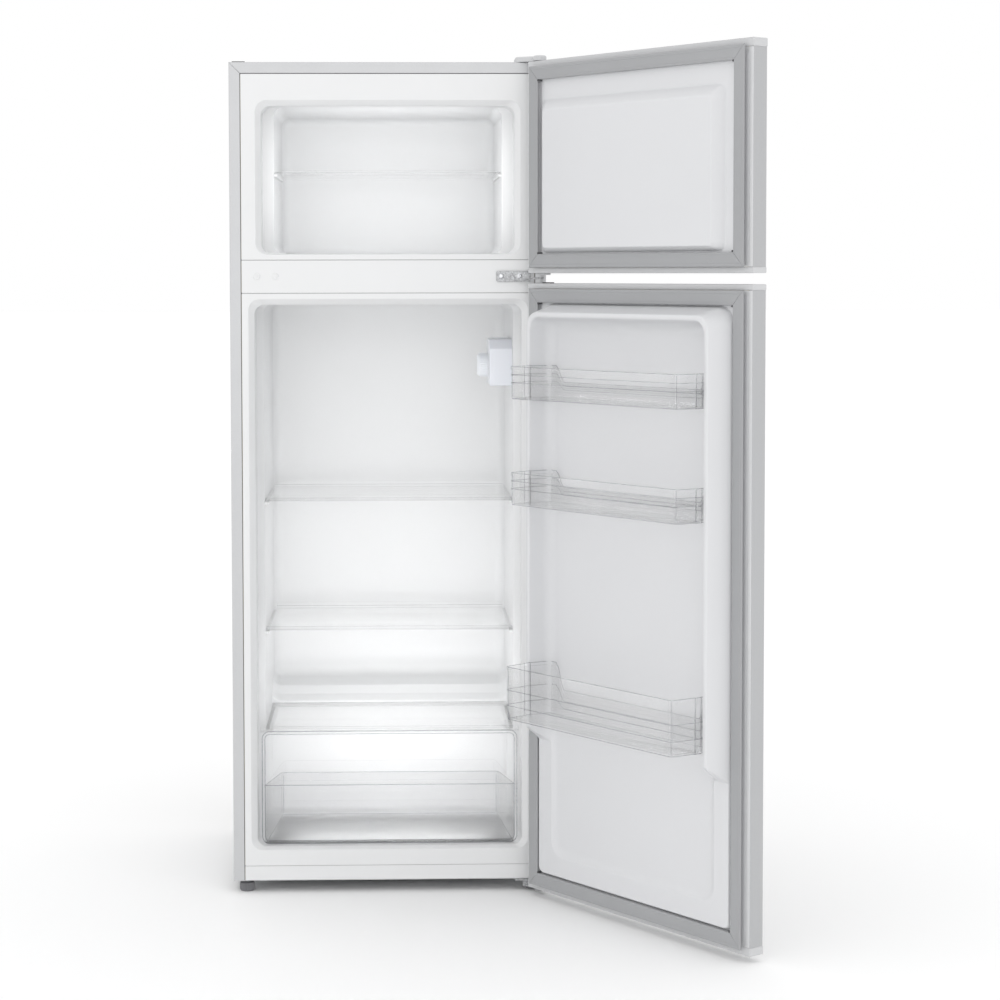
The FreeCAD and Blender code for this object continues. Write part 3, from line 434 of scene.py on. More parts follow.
def spangled(name, color, roughness, scale, amount):
    """Zinc: crystals of slightly different grey and slope."""
    look = Look(name, color, roughness, 0.9)
    grey = look.tree.nodes.new("ShaderNodeSeparateColor")
    look.link(look.cells(scale), grey.inputs["Color"])
    look.tint(look.spread(grey.outputs["Green"], 0.0, 1.0, 0.0, 1.0), amount)
    look.gloss(grey.outputs["Blue"], 0.08)
    look.relief((grey.outputs["Red"], 0.25, 0.15), (look.noise(900.0, 2.0), 0.15, 0.03))


def brushed(name, color, roughness, metallic, stretch):
    look = Look(name, color, roughness, metallic)
    lines = look.noise(60.0, 4.0, stretch)
    look.tint(look.spread(lines, 0.0, 1.0), 0.08)
    look.gloss(lines, 0.08)
    look.relief((lines, 0.2, 0.05), (look.noise(12.0, 2.0), 0.1, 0.4))


def foam_look():
    look = Look("foam", (0.72, 0.64, 0.42), 0.85)
    pores = look.cells(420.0, "F1", "Distance")
    look.drift(14.0, 3.0, 0.08)
    look.relief((pores, 0.5, 0.5), (look.noise(30.0, 3.0), 0.4, 1.5))


def clear(name, color, roughness, ripple, thin, edge):
    """Clear moulded plastic or glass with faint flow ripples; lamps shine through it.

    thin is the share seen straight through face on; edge darkens the colour seen side on, a painted shade at the
    clear edges.
    """
    look = Look(name, color, roughness, Transmission_Weight=0.97, IOR=1.45, Coat_Weight=0.5, Coat_Roughness=0.02)
    facing = look.tree.nodes.new("ShaderNodeLayerWeight").outputs["Facing"]
    side_on = (0.8, 0.97)
    rays = look.tree.nodes.new("ShaderNodeLightPath")
    share = look.tree.nodes.new("ShaderNodeMath")
    share.operation = "MAXIMUM"
    look.link(look.spread(facing, thin, thin * 0.3, *side_on), share.inputs[1])
    see_through = look.tree.nodes.new("ShaderNodeBsdfTransparent")
    choice = look.tree.nodes.new("ShaderNodeMixShader")
    look.link(rays.outputs["Is Shadow Ray"], share.inputs[0])
    look.link(share.outputs["Value"], choice.inputs["Fac"])
    look.link(look.shader.outputs["BSDF"], choice.inputs[1])
    look.link(see_through.outputs["BSDF"], choice.inputs[2])
    look.link(choice.outputs["Shader"], look.tree.nodes["Material Output"].inputs["Surface"])
    # Darker colour side on: painted shade standing in for the dark edges of clear plastic.
    look.tint(look.spread(facing, 0.0, 1.0, *side_on), 0.0, [c * edge for c in color])
    look.gloss(look.noise(26.0, 4.0), roughness * 0.7)
    look.relief((look.noise(18.0, 1.0), ripple + 0.01, 0.2))


def lens_look():
    look = Look("lens", (0.86, 0.88, 0.93), 0.36, Transmission_Weight=0.12, IOR=1.46)
    look.drift(9.0, 2.0, 0.01)
    look.gloss(look.noise(50.0, 3.0), 0.06)
    look.relief((look.cells(420.0, "F1", "Distance"), 0.25, 0.25), (look.noise(20.0, 1.0), 0.1, 0.5))


def enamel():
    look = Look("black_steel", (0.012, 0.012, 0.013), 0.30, 0.0, Coat_Weight=0.5, Coat_Roughness=0.15)
    look.drift(30.0, 4.0, 0.4)
    look.gloss(look.noise(45.0, 4.0), 0.08)
    look.relief((look.noise(260.0, 3.0), 0.25, 0.08), (look.noise(20.0, 2.0), 0.15, 0.5))


# Near-black plastic that paints the shade seen in gaps and wells.
plain_plastic("painted_gap_shade", (0.10, 0.10, 0.105), 0.6, drift=0.1, grain=0.3, grain_scale=600.0)
painted_steel("painted_steel", (0.57, 0.575, 0.585))
# A darker copy of the same steel paint for the door sheets: painted shade.
painted_steel("steel_paint_shaded_copy", (0.46, 0.465, 0.475))
# A lighter copy of the same steel paint for the door edge returns: painted light.
painted_steel("steel_paint_lit_copy", (0.72, 0.725, 0.735))
back_sheet()
spangled("galvanised", (0.48, 0.49, 0.50), 0.42, 130.0, 0.16)
spangled("zinc", (0.40, 0.405, 0.415), 0.36, 520.0, 0.30)
brushed("zinc_screws", (0.70, 0.71, 0.73), 0.26, 1.0, (4.0, 4.0, 40.0))
brushed("aluminium_plate", (0.72, 0.73, 0.74), 0.36, 1.0, (40.0, 2.0, 2.0))
brushed("copper", (0.62, 0.30, 0.17), 0.34, 1.0, (3.0, 3.0, 14.0))
foam_look()
clear("clear_plastic", (0.99, 0.993, 0.997), 0.015, 0.0, 0.82, 0.74)
clear("crisper_plastic", (0.985, 0.99, 1.0), 0.015, 0.0, 0.84, 0.70)
clear("shelf_glass", (0.985, 0.995, 0.99), 0.01, 0.0, 0.84, 0.80)
# Grey for the lines on the clear trays: painted shade of their clear edges.
clear("painted_edge_shade", (0.60, 0.61, 0.64), 0.12, 0.0, 0.25, 0.9)
clear("bulb_glass", (0.96, 0.96, 0.94), 0.30, 0.05, 0.0, 0.9)
lens_look()
enamel()

node_slots = {row["node"]: row["material_slot"] for row in frame["record"]["subparts"]}
for node, obj in frame["nodes"].items():
    for material_slot in obj.material_slots:
        material_slot.material = LOOKS[node_slots[node]]


# ---- cabinet: folded steel wrapper ----
def wrapper():
    """Left, top and right panels, each folded to a front flange; the flanges are mitred."""
    flange, fold, thick, mitre = 18.9, 1.5, 0.6, 0.45
    path = [(flange, fold), (flange, 0.0), (0.0, 0.0), (0.0, depth)]
    line = rounded_line(path, [0, 0.9, 1.6, 0], 4)
    inner = offset_loop(line, -thick, closed=False)
    section = line + inner[::-1]
    form = Form()
    for side in (-1, 1):
        rings = []
        for low_end in (True, False):
            ring = []
            for inset, y in section:
                end = top_z - max(inset, 0.0) - mitre
                if inset < 1.0:
                    end = top_z - 0.3
                ring.append((side * (half_width - inset), y, base_z if low_end else end))
            rings.append(ring)
        form.join(loft(rings))
    rings = []
    for side in (-1, 1):
        ring = []
        for inset, y in section:
            reach = half_width - max(inset, 0.0) - mitre
            if inset < 1.0:
                reach = half_width
            ring.append((side * reach, y, top_z - inset))
        rings.append(ring)
    return form.join(loft(rings))


piece("cabinet_wrapper", wrapper(), "painted_steel", "cabinet", ["cabinet_shell"])


def soft_panel(x0, x1, z0, z1, y_face, y_back, corner=0.8, roll=0.7):
    """A flat strip with rolled edges, seen from the front."""
    levels = ((roll, y_back), (0.0, y_back), (0.0, y_face + roll), (roll * 0.3, y_face + roll * 0.3), (roll, y_face))
    return loft(framed(x0, x1, z0, z1, levels, corner))


piece("mullion_strip", soft_panel(-lining_edge, lining_edge, mullion_low.z + 0.3, mullion_high.z - 0.3, 0.0, 1.2),
      "liner_white", "cabinet", ["mullion_cover"])
piece("sill_strip", soft_panel(-lining_edge, lining_edge, base_z + 0.8, sill_top - 0.2, 0.0, 1.2),
      "liner_white", "cabinet", ["front_sill"])


# ---- cabinet: vacuum-formed compartments ----
def compartment(flange_low, flange_high, side, top, floor, corners, radii):
    """A formed sheet.  side, top and floor are lines of (depth, reach) with the same number of points."""
    lines = [rounded_line(line, radii, 5) for line in (side, top, floor)]

    def ring(index, grow, back):
        (ys, half), (yt, high), (yf, low) = (line[index] for line in lines)
        shrink = min(index / 12.0, 1.0)
        radius = corners[0] + (corners[1] - corners[0]) * shrink + grow
        points = []
        for x, z in round_rect(-half - grow, half + grow, low - grow, high + grow, radius):
            middle = (low + high) / 2
            edge = high if z > middle else low
            level = yt if z > middle else yf
            share = min(max((abs(x) - (half - radius)) / radius, 0.0), 1.0)
            rise = min(max((abs(z - middle) - (abs(edge - middle) - radius)) / radius, 0.0), 1.0)
            weight = rise / max(rise + share, 1e-6)
            points.append((x, ys + (level - ys) * weight + back, z))
        return points

    last = len(lines[0]) - 1
    rim = ((0.7, 0.0), (0.2, 0.2), (0.0, 0.8), (0.0, 1.2), (1.0, 1.2))
    return loft([ring(index, 0.0, 0.0) for index in range(last, -1, -1)]
                + framed(-lining_edge, lining_edge, flange_low, flange_high, rim, 1.0)
                + [ring(index, 1.1, 1.1) for index in range(last + 1)])


def gap_shade_blocks():
    """Dark blocks behind the joints between the flanges, linings, cover strip and sill, so the gaps read as dark
    lines: painted shade.
    """
    form = Form()
    near = face_edge - 0.4
    for span, corner in zip(mirrored(near, face_edge + 2.2), mirrored(face_edge + 0.4, half_width - 1.2)):
        form.join(block(*span, 1.22, 1.46, base_z + 1.0, top_z - 2.0))
        form.join(block(*corner, 0.7, 1.2, top_z - 20.5, top_z - 1.2))
    for z in (top_z - 20.0, mullion_low.z, mullion_high.z, sill_top):
        form.join(block(-near, near, 1.24, 1.44, z - 1.6, z + 1.6))
    return form


# The dark blocks paint the shade inside the flange and lining gaps.
piece("gap_shade_backing", gap_shade_blocks(), "gasket_grey", "cabinet", look="painted_gap_shade")


def rib(x0, x1, y0, y1, z0, z1):
    """A moulded shelf rest with rounded ends."""
    return prism(rounded_line(rect(y0, y1, z0, z1), [1.6, 1.6, 1.0, 2.2], 4, True), x0, x1, "x")


def raised(base, *rises):
    return [base + rise for rise in rises]


freezer_rim = freezer_mouth + 9.5
freezer_depths = (0.0, 0.0, rim_bevel, shoulder, shoulder_back, freezer_depth, freezer_depth)
freezer_lines = ((freezer_rim + 4.0, freezer_rim, freezer_mouth, freezer_mouth - 0.5, freezer_inner,
                  freezer_inner - 1.5, freezer_inner - 40.0),
                 raised(freezer_ceiling, 14.0, 9.5, 0.0, 0.0, 0.0, -1.0, -30.0),
                 raised(freezer_floor, -2.5, -1.5, 0.0, 0.0, 0.0, 1.0, 30.0))
freezer_form = compartment(freezer_floor - 11.0 + 0.3, top_z - flange - 0.8,
                           *(list(zip(freezer_depths, line)) for line in freezer_lines),
                           (22.0, 16.0), [0, 2.0, 2.0, 2.0, 2.0, 20.0, 0])
shelf_z = cad_low_high("freezer_shelf")[0].z + 2.4
for span in mirrored(freezer_inner - 6.0, freezer_inner + 0.5):
    freezer_form.join(rib(*span, 70.0, 330.0, shelf_z - 4.6, shelf_z))
piece("freezer_lining", freezer_form, "liner_white", "cabinet", ["freezer_liner"])

fridge_rim = fridge_mouth + 10.0
# The side and top keep pace with the floor line, which climbs the hump at these depths.
hump_depths = [hump_front, hump_front, hump_front + 18.0, hump_front + 33.0]
draft = [-0.003 * y for y in hump_depths]
fridge_depths = [0.0, 0.0, rim_bevel, fridge_shoulder, fridge_shoulder_back]
fridge_depths += [y + 0.02 * i for i, y in enumerate(hump_depths)] + [fridge_depth, fridge_depth]
fridge_side = list(zip(fridge_depths, [fridge_rim + 3.0, fridge_rim, fridge_mouth, fridge_mouth - 0.5]
                       + raised(fridge_inner, 0.0, *draft, -1.5, -40.0)))
fridge_top = list(zip(fridge_depths, raised(fridge_ceiling, 13.0, 10.0, 0.0, 0.0, 0.0, *draft, -1.2, -30.0)))
fridge_base = list(zip(fridge_depths[:5] + hump_depths + [fridge_depth, fridge_depth],
                       raised(fridge_floor, -6.0, -4.0, 0.0, 0.0, 0.0, 0.0)
                       + raised(hump_top, 0.0, 10.0, 24.0, 34.0, 70.0)))
fridge_form = compartment(sill_top + 0.2, fridge_ceiling + 19.7, fridge_side, fridge_top, fridge_base,
                          (22.0, 15.0), [0, 2.0, 2.0, 6.0, 8.0, 8.0, 7.0, 6.0, 6.0, 20.0, 0])
cover_top = cad_low_high("crisper_cover_glass")[1].z + 1.0
shelf_tops = [cad_low_high(f"shelf_{name}_glass")[1].z + 1.2 for name in ("lower", "upper")]
for span in mirrored(fridge_inner - 6.5, fridge_inner + 0.5):
    for level in shelf_tops:
        fridge_form.join(rib(*span, 95.0, fridge_depth - 30.0, level - 11.4, level - 6.8))
    fridge_form.join(rib(*span, 84.0, hump_front - 6.0, cover_top - 12.5, cover_top - 7.9))
piece("fridge_lining", fridge_form, "liner_white", "cabinet", ["fridge_liner"])


# ---- doors ----
def door_levels(door):
    """The door's bottom and top, with its caps."""
    low = cad_low_high(f"{door}_cap_bottom")[0].z
    high = cad_low_high(f"{door}_cap_top")[1].z
    return low, high


def door_sheet_form(z0, z1):
    """Front and sides in one sheet, folded twice at the edges behind the gasket."""
    edge, fold = half_width, 9.0
    path = [(-edge + fold, door_inner - 4.0), (-edge + fold, door_inner), (-edge, door_inner), (-edge, door_outer),
            (edge, door_outer), (edge, door_inner), (edge - fold, door_inner), (edge - fold, door_inner - 4.0)]
    line = rounded_line(path, [0, 0.9, 1.4, 4.5, 4.5, 1.4, 0.9, 0], 6)
    return prism(line + offset_loop(line, 0.6, closed=False)[::-1], z0, z1)


def cap_form(z0, z1, top):
    """Moulded end cap with rolled edges and a raised band next to the sheet."""
    proud = 0.8
    base = rect(-half_width - proud, half_width + proud, door_outer - proud, door_inner)
    outline = rounded_line(base, [5.3, 5.3, 1.2, 1.2], 6, True)
    out_z, in_z = (z1, z0) if top else (z0, z1)
    way = 1 if top else -1
    levels = [(0.9, in_z), (0.25, in_z + way * 0.35), (0.25, in_z + way * 1.2), (0.0, in_z + way * 1.5),
              (0.0, out_z - way * 1.6), (0.45, out_z - way * 0.45), (1.7, out_z)]
    return layered(outline, levels)


def gasket_form(low, high):
    """Four mitred runs: bellows, magnet pocket and lips."""
    profile = [(8.6, 0.1), (22.0, 0.1), (23.6, 1.0), (23.2, 3.0), (21.2, 4.2), (21.0, 5.0),
               (23.0, 6.4), (23.4, 8.0), (22.6, 9.2), (20.2, 9.6), (19.4, 9.1), (18.6, 9.6), (6.6, 9.6),
               (5.8, 9.1), (5.0, 9.6), (1.6, 9.6), (0.2, 8.8), (0.0, 7.6), (1.4, 6.4), (7.6, 5.8), (9.4, 4.6),
               (7.8, 3.0), (8.2, 1.0)]
    profile = rounded_line(profile, 0.6, 2, True)
    edge, z0, z1 = half_width - gasket_side, low + gasket_inset, high - gasket_inset
    corners = [(-edge, z0, 1, 1), (edge, z0, -1, 1), (edge, z1, -1, -1), (-edge, z1, 1, -1)]
    form = Form()
    mitre = 0.3
    for index in range(4):
        ends = []
        for which in (index, (index + 1) % 4):
            x, z, sx, sz = corners[which]
            other = corners[index if which != index else (index + 1) % 4]
            run = Vector((other[0] - x, 0.0, other[1] - z)).normalized() * mitre
            ends.append([(x + sx * inset + run.x, door_inner + rise, z + sz * inset + run.z)
                         for inset, rise in profile])
        form.join(loft(ends))
    return form


def return_frame(z0, z1):
    """The painted edge return that shows between the side and the lining; it wears a lighter copy of the steel
    paint, a painted light.
    """
    profile = ((9.6, -0.1), (0.9, -0.1), (0.7, 0.12), (1.1, 0.25), (5.4, 0.25), (5.6, 0.05), (6.0, 0.05),
               (6.2, 0.25), (9.3, 0.25), (9.6, 0.1))
    levels = [(inset, door_inner + rise) for inset, rise in profile]
    return loft(framed(-half_width, half_width, z0, z1, levels, 1.0), hoop=True)


def shaded_seal_wells(low, high):
    """Small dark pegs where the seal's inner corners are welded, standing for open wells: their dark colour is
    painted shade.
    """
    form = Form()
    edge = half_width - gasket_side - gasket_width - 0.6
    for x in (-edge, edge):
        for z in (low + gasket_inset + gasket_width + 0.6, high - gasket_inset - gasket_width - 0.6):
            form.join(turned([(1.7, 0.0), (1.7, 9.2), (1.2, 9.7), (0.7, 8.8)], (x, door_inner, z), "y", 16))
    return form


def sheet_rings(profile, rect_at, stops=(), lid=None):
    """Rings for a formed door lining; profile is (distance, height) and rect_at gives its rectangle."""
    rings = []
    for distance, height in profile:
        x0, x1, z0, z1, radius = rect_at(distance)
        ring = []
        for x, z in round_rect(x0, x1, z0, z1, radius, 8, stops):
            ring.append((x, door_inner + (lid(z, height) if lid else height), z))
        rings.append(ring)
    return rings


def subdivided(line, longest):
    """Adds points so that no run is longer than the limit."""
    points = [line[0]]
    for a, b in zip(line, line[1:]):
        pieces = max(1, math.ceil(math.dist(a, b) / longest))
        points += [(a[0] + (b[0] - a[0]) * k / pieces, a[1] + (b[1] - a[1]) * k / pieces)
                   for k in range(1, pieces + 1)]
    return points


def lining_border(z0, z1, radius, stops=()):
    """Rings from the back of the sheet, round its edge, to its face."""
    edge = half_width - lining_inset
    levels = [(inset, door_inner + rise)
              for inset, rise in ((8.0, -1.2), (0.3, -1.2), (0.0, -0.9), (0.0, -0.3), (0.3, 0.0))]
    return framed(-edge, edge, z0, z1, levels, radius, 8, stops)


def freezer_door_lining(low, high):
    right = half_width - dike_inset
    left = -right + 24.0
    z0, z1 = low + gasket_inset + gasket_width + 1.5, high - gasket_inset - gasket_width - 33.0
    profile = rounded_line([(-14.0, 0.0), (0.0, 0.0), (18.0, 15.0), (40.0, 15.0)], [0, 6.0, 7.0, 0], 6)

    def rect_at(distance):
        lower = min(distance, 18.0) * 8.0 / 18.0 + max(distance - 18.0, 0.0)
        radius = max(13.0 - distance * 0.3, 6.0)
        return left + distance, right - distance, z0 + lower, z1 - distance, radius

    return loft(lining_border(low + lining_inset, high - thick_cap - 0.3, 1.5) + sheet_rings(profile, rect_at))


def fridge_door_lining(low, high):
    edge = half_width - dike_inset
    z0, z1 = low + gasket_inset + gasket_width + 1.0, high - gasket_inset - gasket_width - 1.0
    step_low, step_high = crisper_high.z + 0.5, crisper_high.z + 29.0
    stops = [step_low - 14, step_low - 8, step_low - 5, step_low - 2.5, step_low, step_low + 3]
    stops += [step_low + 3 + k * (step_high - step_low - 6) / 6 for k in range(1, 7)]
    stops += [step_high, step_high + 2.5, step_high + 5, step_high + 9, step_high + 16]
    profile = rounded_line([(-8.0, 0.0), (0.0, 0.0), (14.0, dike_height), (22.0, dike_height),
                            (31.0, pocket_level), (100.0, pocket_level)],
                           [0, 2.5, 4.5, 4.5, 24.0, 0], 9)
    profile = [p for p in subdivided(profile, 2.2) if p[0] < 62.0] + [(70.0, pocket_level)]

    def ceiling(z):
        share = min(max((z - step_low) / (step_high - step_low), 0.0), 1.0)
        share = share * share * (3 - 2 * share) * 0.35 + share * 0.65
        return dike_low + (dike_height - dike_low) * share

    def lid(z, height):
        top = ceiling(z)
        soft = 0.7
        blend = min(max(0.5 + 0.5 * (top - height) / soft, 0.0), 1.0)
        return top + (height - top) * blend - soft * blend * (1 - blend) * 0.5

    def rect_at(distance):
        radius = (8.0 + 20.0 * min(max(distance, 0.0) / 24.0, 1.0), max(34.0 - distance * 0.5, 14.0))
        return -edge + distance, edge - distance, z0 + distance, z1 - distance, radius

    form = loft(lining_border(low + thick_cap + 0.3, high - lining_inset, 1.5, stops)
                + sheet_rings(profile, rect_at, stops, lid))
    ledge = half_width - dike_inset - 22.0
    for name in ("bin_bottle", "bin_middle", "bin_top"):
        level = cad_low_high(name)[0].z
        for span in mirrored(ledge - 11.0, ledge + 2.0):
            form.join(rib(*span, door_inner + 12.0, door_inner + 40.0, level - 5.2, level - 0.4))
    return form


for door, lining, low_cap, high_cap in (("freezer_door", freezer_door_lining, thin_cap, thick_cap),
                                        ("fridge_door", fridge_door_lining, thick_cap, thin_cap)):
    low, high = door_levels(door)
    span = (low + low_cap, high - high_cap)
    for part, form, slot, node, look in (
            # the door sheet wears the darker copy of the steel paint, a painted shade
            ("sheet", door_sheet_form(*span), "painted_steel", "skin", "steel_paint_shaded_copy"),
            # the edge return wears the lighter copy of the steel paint, a painted light
            ("return", return_frame(*span), "painted_steel", None, "steel_paint_lit_copy"),
            # the dark pegs paint the shade inside the seal's corner wells
            ("shaded_seal_wells", shaded_seal_wells(low, high), "gasket_grey", None, "painted_gap_shade"),
            ("lower_cap", cap_form(low, span[0], False), "cap_grey", "cap_bottom", None),
            ("upper_cap", cap_form(span[1], high, True), "cap_grey", "cap_top", None),
            ("seal", gasket_form(low, high), "gasket_grey", "gasket", None),
            # the door lining wears the darker copy of the liner white, a painted shade
            ("lining", lining(low, high), "liner_white", "liner", "lining_white_shaded_copy")):
        piece(f"{door}_{part}", form, slot, door, [f"{door}_{node}"] if node else (), look=look)


# ---- trays: bins and the crisper ----
def tray_ring(outline, z, height_at, inset, rise, share):
    return [(x, y, z + rise + share * height_at(*outline[i]))
            for i, (x, y) in enumerate(offset_loop(outline, inset))]


def tray(outline, z, height_at, profile):
    """A moulded tray; profile is (inset, rise, share), a level being rise plus share of the local height."""
    return loft([tray_ring(outline, z, height_at, *stop) for stop in profile])


def hoop_section(inset, rise, radius):
    """Six points round a thin hoop's section."""
    return [(inset + radius * math.cos(turn), rise + radius * math.sin(turn))
            for turn in (math.tau * k / 6 for k in range(6))]


def bead(outline, z, height_at, inset, rise, share, radius):
    """A thin grey hoop half sunk in a tray's wall: a painted shade line where the clear edge would bend light."""
    return loft([tray_ring(outline, z, height_at, *point, share) for point in hoop_section(inset, rise, radius)],
                hoop=True)


def upright(outline, z, height_at, target, inset, radius, low=2.5, high=2.0):
    """A thin grey upright line down the outline's point nearest the target: a painted shade line on a clear corner.
    """
    index = min(range(len(outline)), key=lambda i: math.dist(outline[i], target))
    x, y = offset_loop(outline, inset)[index]
    return turned([(radius, low), (radius, height_at(*outline[index]) - high)], (x, y, z), "z", 8)


def bin_form(node, deep, ribs):
    """The clear tray of a door bin, and thin grey lines at its lip, ribs and corners that paint the shade of its
    clear edges.
    """
    level, top = (corner.z for corner in cad_low_high(node))
    tall = top - level
    reach = half_width - dike_inset - 22.0 - 1.2
    y0 = door_inner + 8.0
    y1 = y0 + deep
    right = [(reach - 11.0, y1), (reach - 5.0, y1 - 8.0), (reach - 1.8, y0 + 53.5), (reach, y0 + 52.5),
             (reach, y0 + 37.5), (reach - 1.8, y0 + 36.5), (reach - 7.5, y0)]
    radii = [6.0, 10.0, 0.6, 0.8, 0.8, 0.6, 5.0]
    loop = (right + [(-x, y) for x, y in reversed(right)])[::-1]
    outline = dense_rear(rounded_line(loop, (radii + radii[::-1])[::-1], 4, True), y0 + 2.0)

    def height_at(x, y):
        if y > y0 + 3.0:
            return tall
        drop = min(max((reach - 26.0 - abs(x)) / 20.0, 0.0), 1.0)
        drop = drop * drop * (3 - 2 * drop)
        return tall * (1.0 - 0.5 * drop)

    profile = [(9.0, 0.0, 0.0), (3.6, 0.0, 0.0), (2.2, 0.6, 0.0), (1.6, 2.2, 0.0)]
    for low_share in ribs:
        profile += [(1.6, -1.3, low_share), (0.5, -0.9, low_share), (0.5, 0.9, low_share), (1.6, 1.3, low_share)]
    profile += [(1.4, -6.6, 1.0), (0.1, -5.8, 1.0), (0.0, -5.2, 1.0), (0.0, -1.0, 1.0), (0.4, -0.3, 1.0),
                (1.2, 0.0, 1.0), (2.4, 0.0, 1.0), (3.0, -0.6, 1.0), (3.1, -5.0, 1.0), (3.6, 5.0, 0.0),
                (4.8, 2.9, 0.0), (9.0, 2.2, 0.0)]
    lines = Form()
    for inset, rise, share in [(1.0, -0.6, 1.0), (2.6, 0.9, 0.0)] + [(0.9, 0.0, share) for share in ribs]:
        lines.join(bead(outline, level, height_at, inset, rise, share, 0.55))
    for side in (-1, 1):
        for target in ((reach - 9.0, y1 - 3.0), (reach, y0 + 52.5), (reach, y0 + 37.5)):
            lines.join(upright(outline, level, height_at, (side * target[0], target[1]), 2.2, 0.6))
    return tray(outline, level, height_at, profile), lines


def dense_rear(outline, limit):
    """Adds points along the rear run so that its rim can dip smoothly."""
    points = []
    count = len(outline)
    for index, (x, y) in enumerate(outline):
        points.append((x, y))
        nx, ny = outline[(index + 1) % count]
        if y < limit and ny < limit and abs(nx - x) > 30.0:
            pieces = 60
            points += [(x + (nx - x) * k / pieces, y + (ny - y) * k / pieces) for k in range(1, pieces)]
    return points


for node, deep, ribs in (("bin_top", 89.0, (0.5, 0.74)), ("bin_middle", 89.0, (0.5, 0.74)),
                         ("bin_bottle", 98.0, (0.27, 0.56))):
    form, lines = bin_form(node, deep, ribs)
    piece(f"{node}_tray", form, "clear_plastic", f"{node}_body", [node], smooth=40)
    # The grey lines paint the shade of the tray's clear edges.
    piece(f"{node}_lines", lines, "clear_plastic", f"{node}_body", smooth=60, look="painted_edge_shade")


def crisper_frame(levels):
    """Rounded rectangles of the crisper's front, drawn in by an inset at each depth behind it."""
    return framed(-crisper_high.x, crisper_high.x, crisper_low.z, crisper_high.z,
                  [(inset, crisper_low.y + y) for inset, y in levels], lambda inset: max(14.0 - inset, 4.0), 8)


def crisper_panel():
    """Clear front with two raised beads round its border."""
    return loft(crisper_frame([(3.0, 5.5), (0.8, 5.5), (0.0, 4.8), (0.0, 1.2), (0.9, 0.1), (2.2, 0.0), (2.9, 1.6),
                               (4.4, 1.6), (5.1, 0.1), (6.6, 0.1), (7.4, 1.4), (7.8, 2.8), (30.0, 2.8)]))


def crisper_tub(edge, y0, y1, z0, tall):
    back = edge - 23.0
    loop = [(-edge + 4.0, y0), (edge - 4.0, y0), (back, y1), (-back, y1)]
    outline = rounded_line(loop, [2.0, 2.0, 16.0, 16.0], 6, True)

    def height_at(x, y):
        return tall - 24.0 * (y - y0) / (y1 - y0)

    profile = [(12.0, 0.0, 0.0), (5.0, 0.0, 0.0), (2.4, 1.2, 0.0), (1.2, 4.0, 0.0), (0.9, -5.0, 1.0),
               (0.0, -4.0, 1.0), (0.0, -1.0, 1.0), (0.6, -0.2, 1.0), (1.6, 0.0, 1.0), (2.6, -0.4, 1.0),
               (2.9, -1.4, 1.0), (3.4, 6.0, 0.0), (4.8, 3.4, 0.0), (12.0, 2.4, 0.0)]
    lines = bead(outline, z0, height_at, 1.3, -0.9, 1.0, 0.75)
    lines.join(bead(outline, z0, height_at, 3.6, 1.9, 0.0, 0.55))
    for side in (-1, 1):
        lines.join(upright(outline, z0, height_at, (side * back, y1), 2.2, 0.6, 5.0, 6.0))
    return tray(outline, z0, height_at, profile), lines


def united(name, forms, slot, body, nodes, **extra):
    """Joins overlapping clear forms into one skin, so that no wall shows inside another."""
    parts = [solid(f"{name}_part{index}", form) for index, form in enumerate(forms)]
    for other in parts[1:]:
        union = parts[0].modifiers.new("union", "BOOLEAN")
        union.operation = "UNION"
        union.solver = "MANIFOLD"
        union.object = other
    result = bpy.data.meshes.new_from_object(parts[0].evaluated_get(bpy.context.evaluated_depsgraph_get()))
    whole = Form().add([v.co / MM for v in result.vertices], [list(p.vertices) for p in result.polygons])
    for obj in parts:
        bpy.data.objects.remove(obj)
    return piece(name, whole, slot, body, nodes, **extra)


tub, tub_edge_shade = crisper_tub(crisper_high.x, crisper_low.y + 4.0, crisper_high.y, crisper_low.z, 104.0)
united("crisper_tray", [crisper_panel(), tub], "clear_plastic", "crisper", ["crisper_drawer"], smooth=40,
       look="crisper_plastic")
# Grey hoops round the crisper front paint the shade of its clear border.
for inset, radius in ((1.0, 0.7), (5.8, 0.6)):
    tub_edge_shade.join(loft(crisper_frame(hoop_section(inset, 0.9, radius)), hoop=True))
piece("crisper_lines", tub_edge_shade, "clear_plastic", "crisper", smooth=60, look="painted_edge_shade")


# ---- shelves and cover ----
def plate_form(x0, x1, y0, y1, z0, z1, corner, edge=0.8):
    """A flat plate with ground edges."""
    return layered(rounded_line(rect(x0, x1, y0, y1), corner, 5, True),
                   [(edge, z0), (edge * 0.25, z0 + edge * 0.4), (0.0, z0 + edge), (0.0, z1 - edge),
                    (edge * 0.25, z1 - edge * 0.4), (edge, z1)])


def pane(node, corner, piece_name, body):
    """The glass plate of a shelf or cover, as large as its CAD node."""
    low, high = cad_low_high(node)
    piece(piece_name, plate_form(low.x, high.x, low.y, high.y, low.z, high.z, corner), "shelf_glass", body, [node])


def rail(profile, x0, x1, roll=1.0):
    """A moulded rail along X with eased ends; profile is (y, z)."""
    return layered(rounded_line(profile, 0.8, 3, True),
                   ((roll * 0.5, x0), (0.0, x0 + roll), (0.0, x1 - roll), (roll * 0.5, x1)), "x")


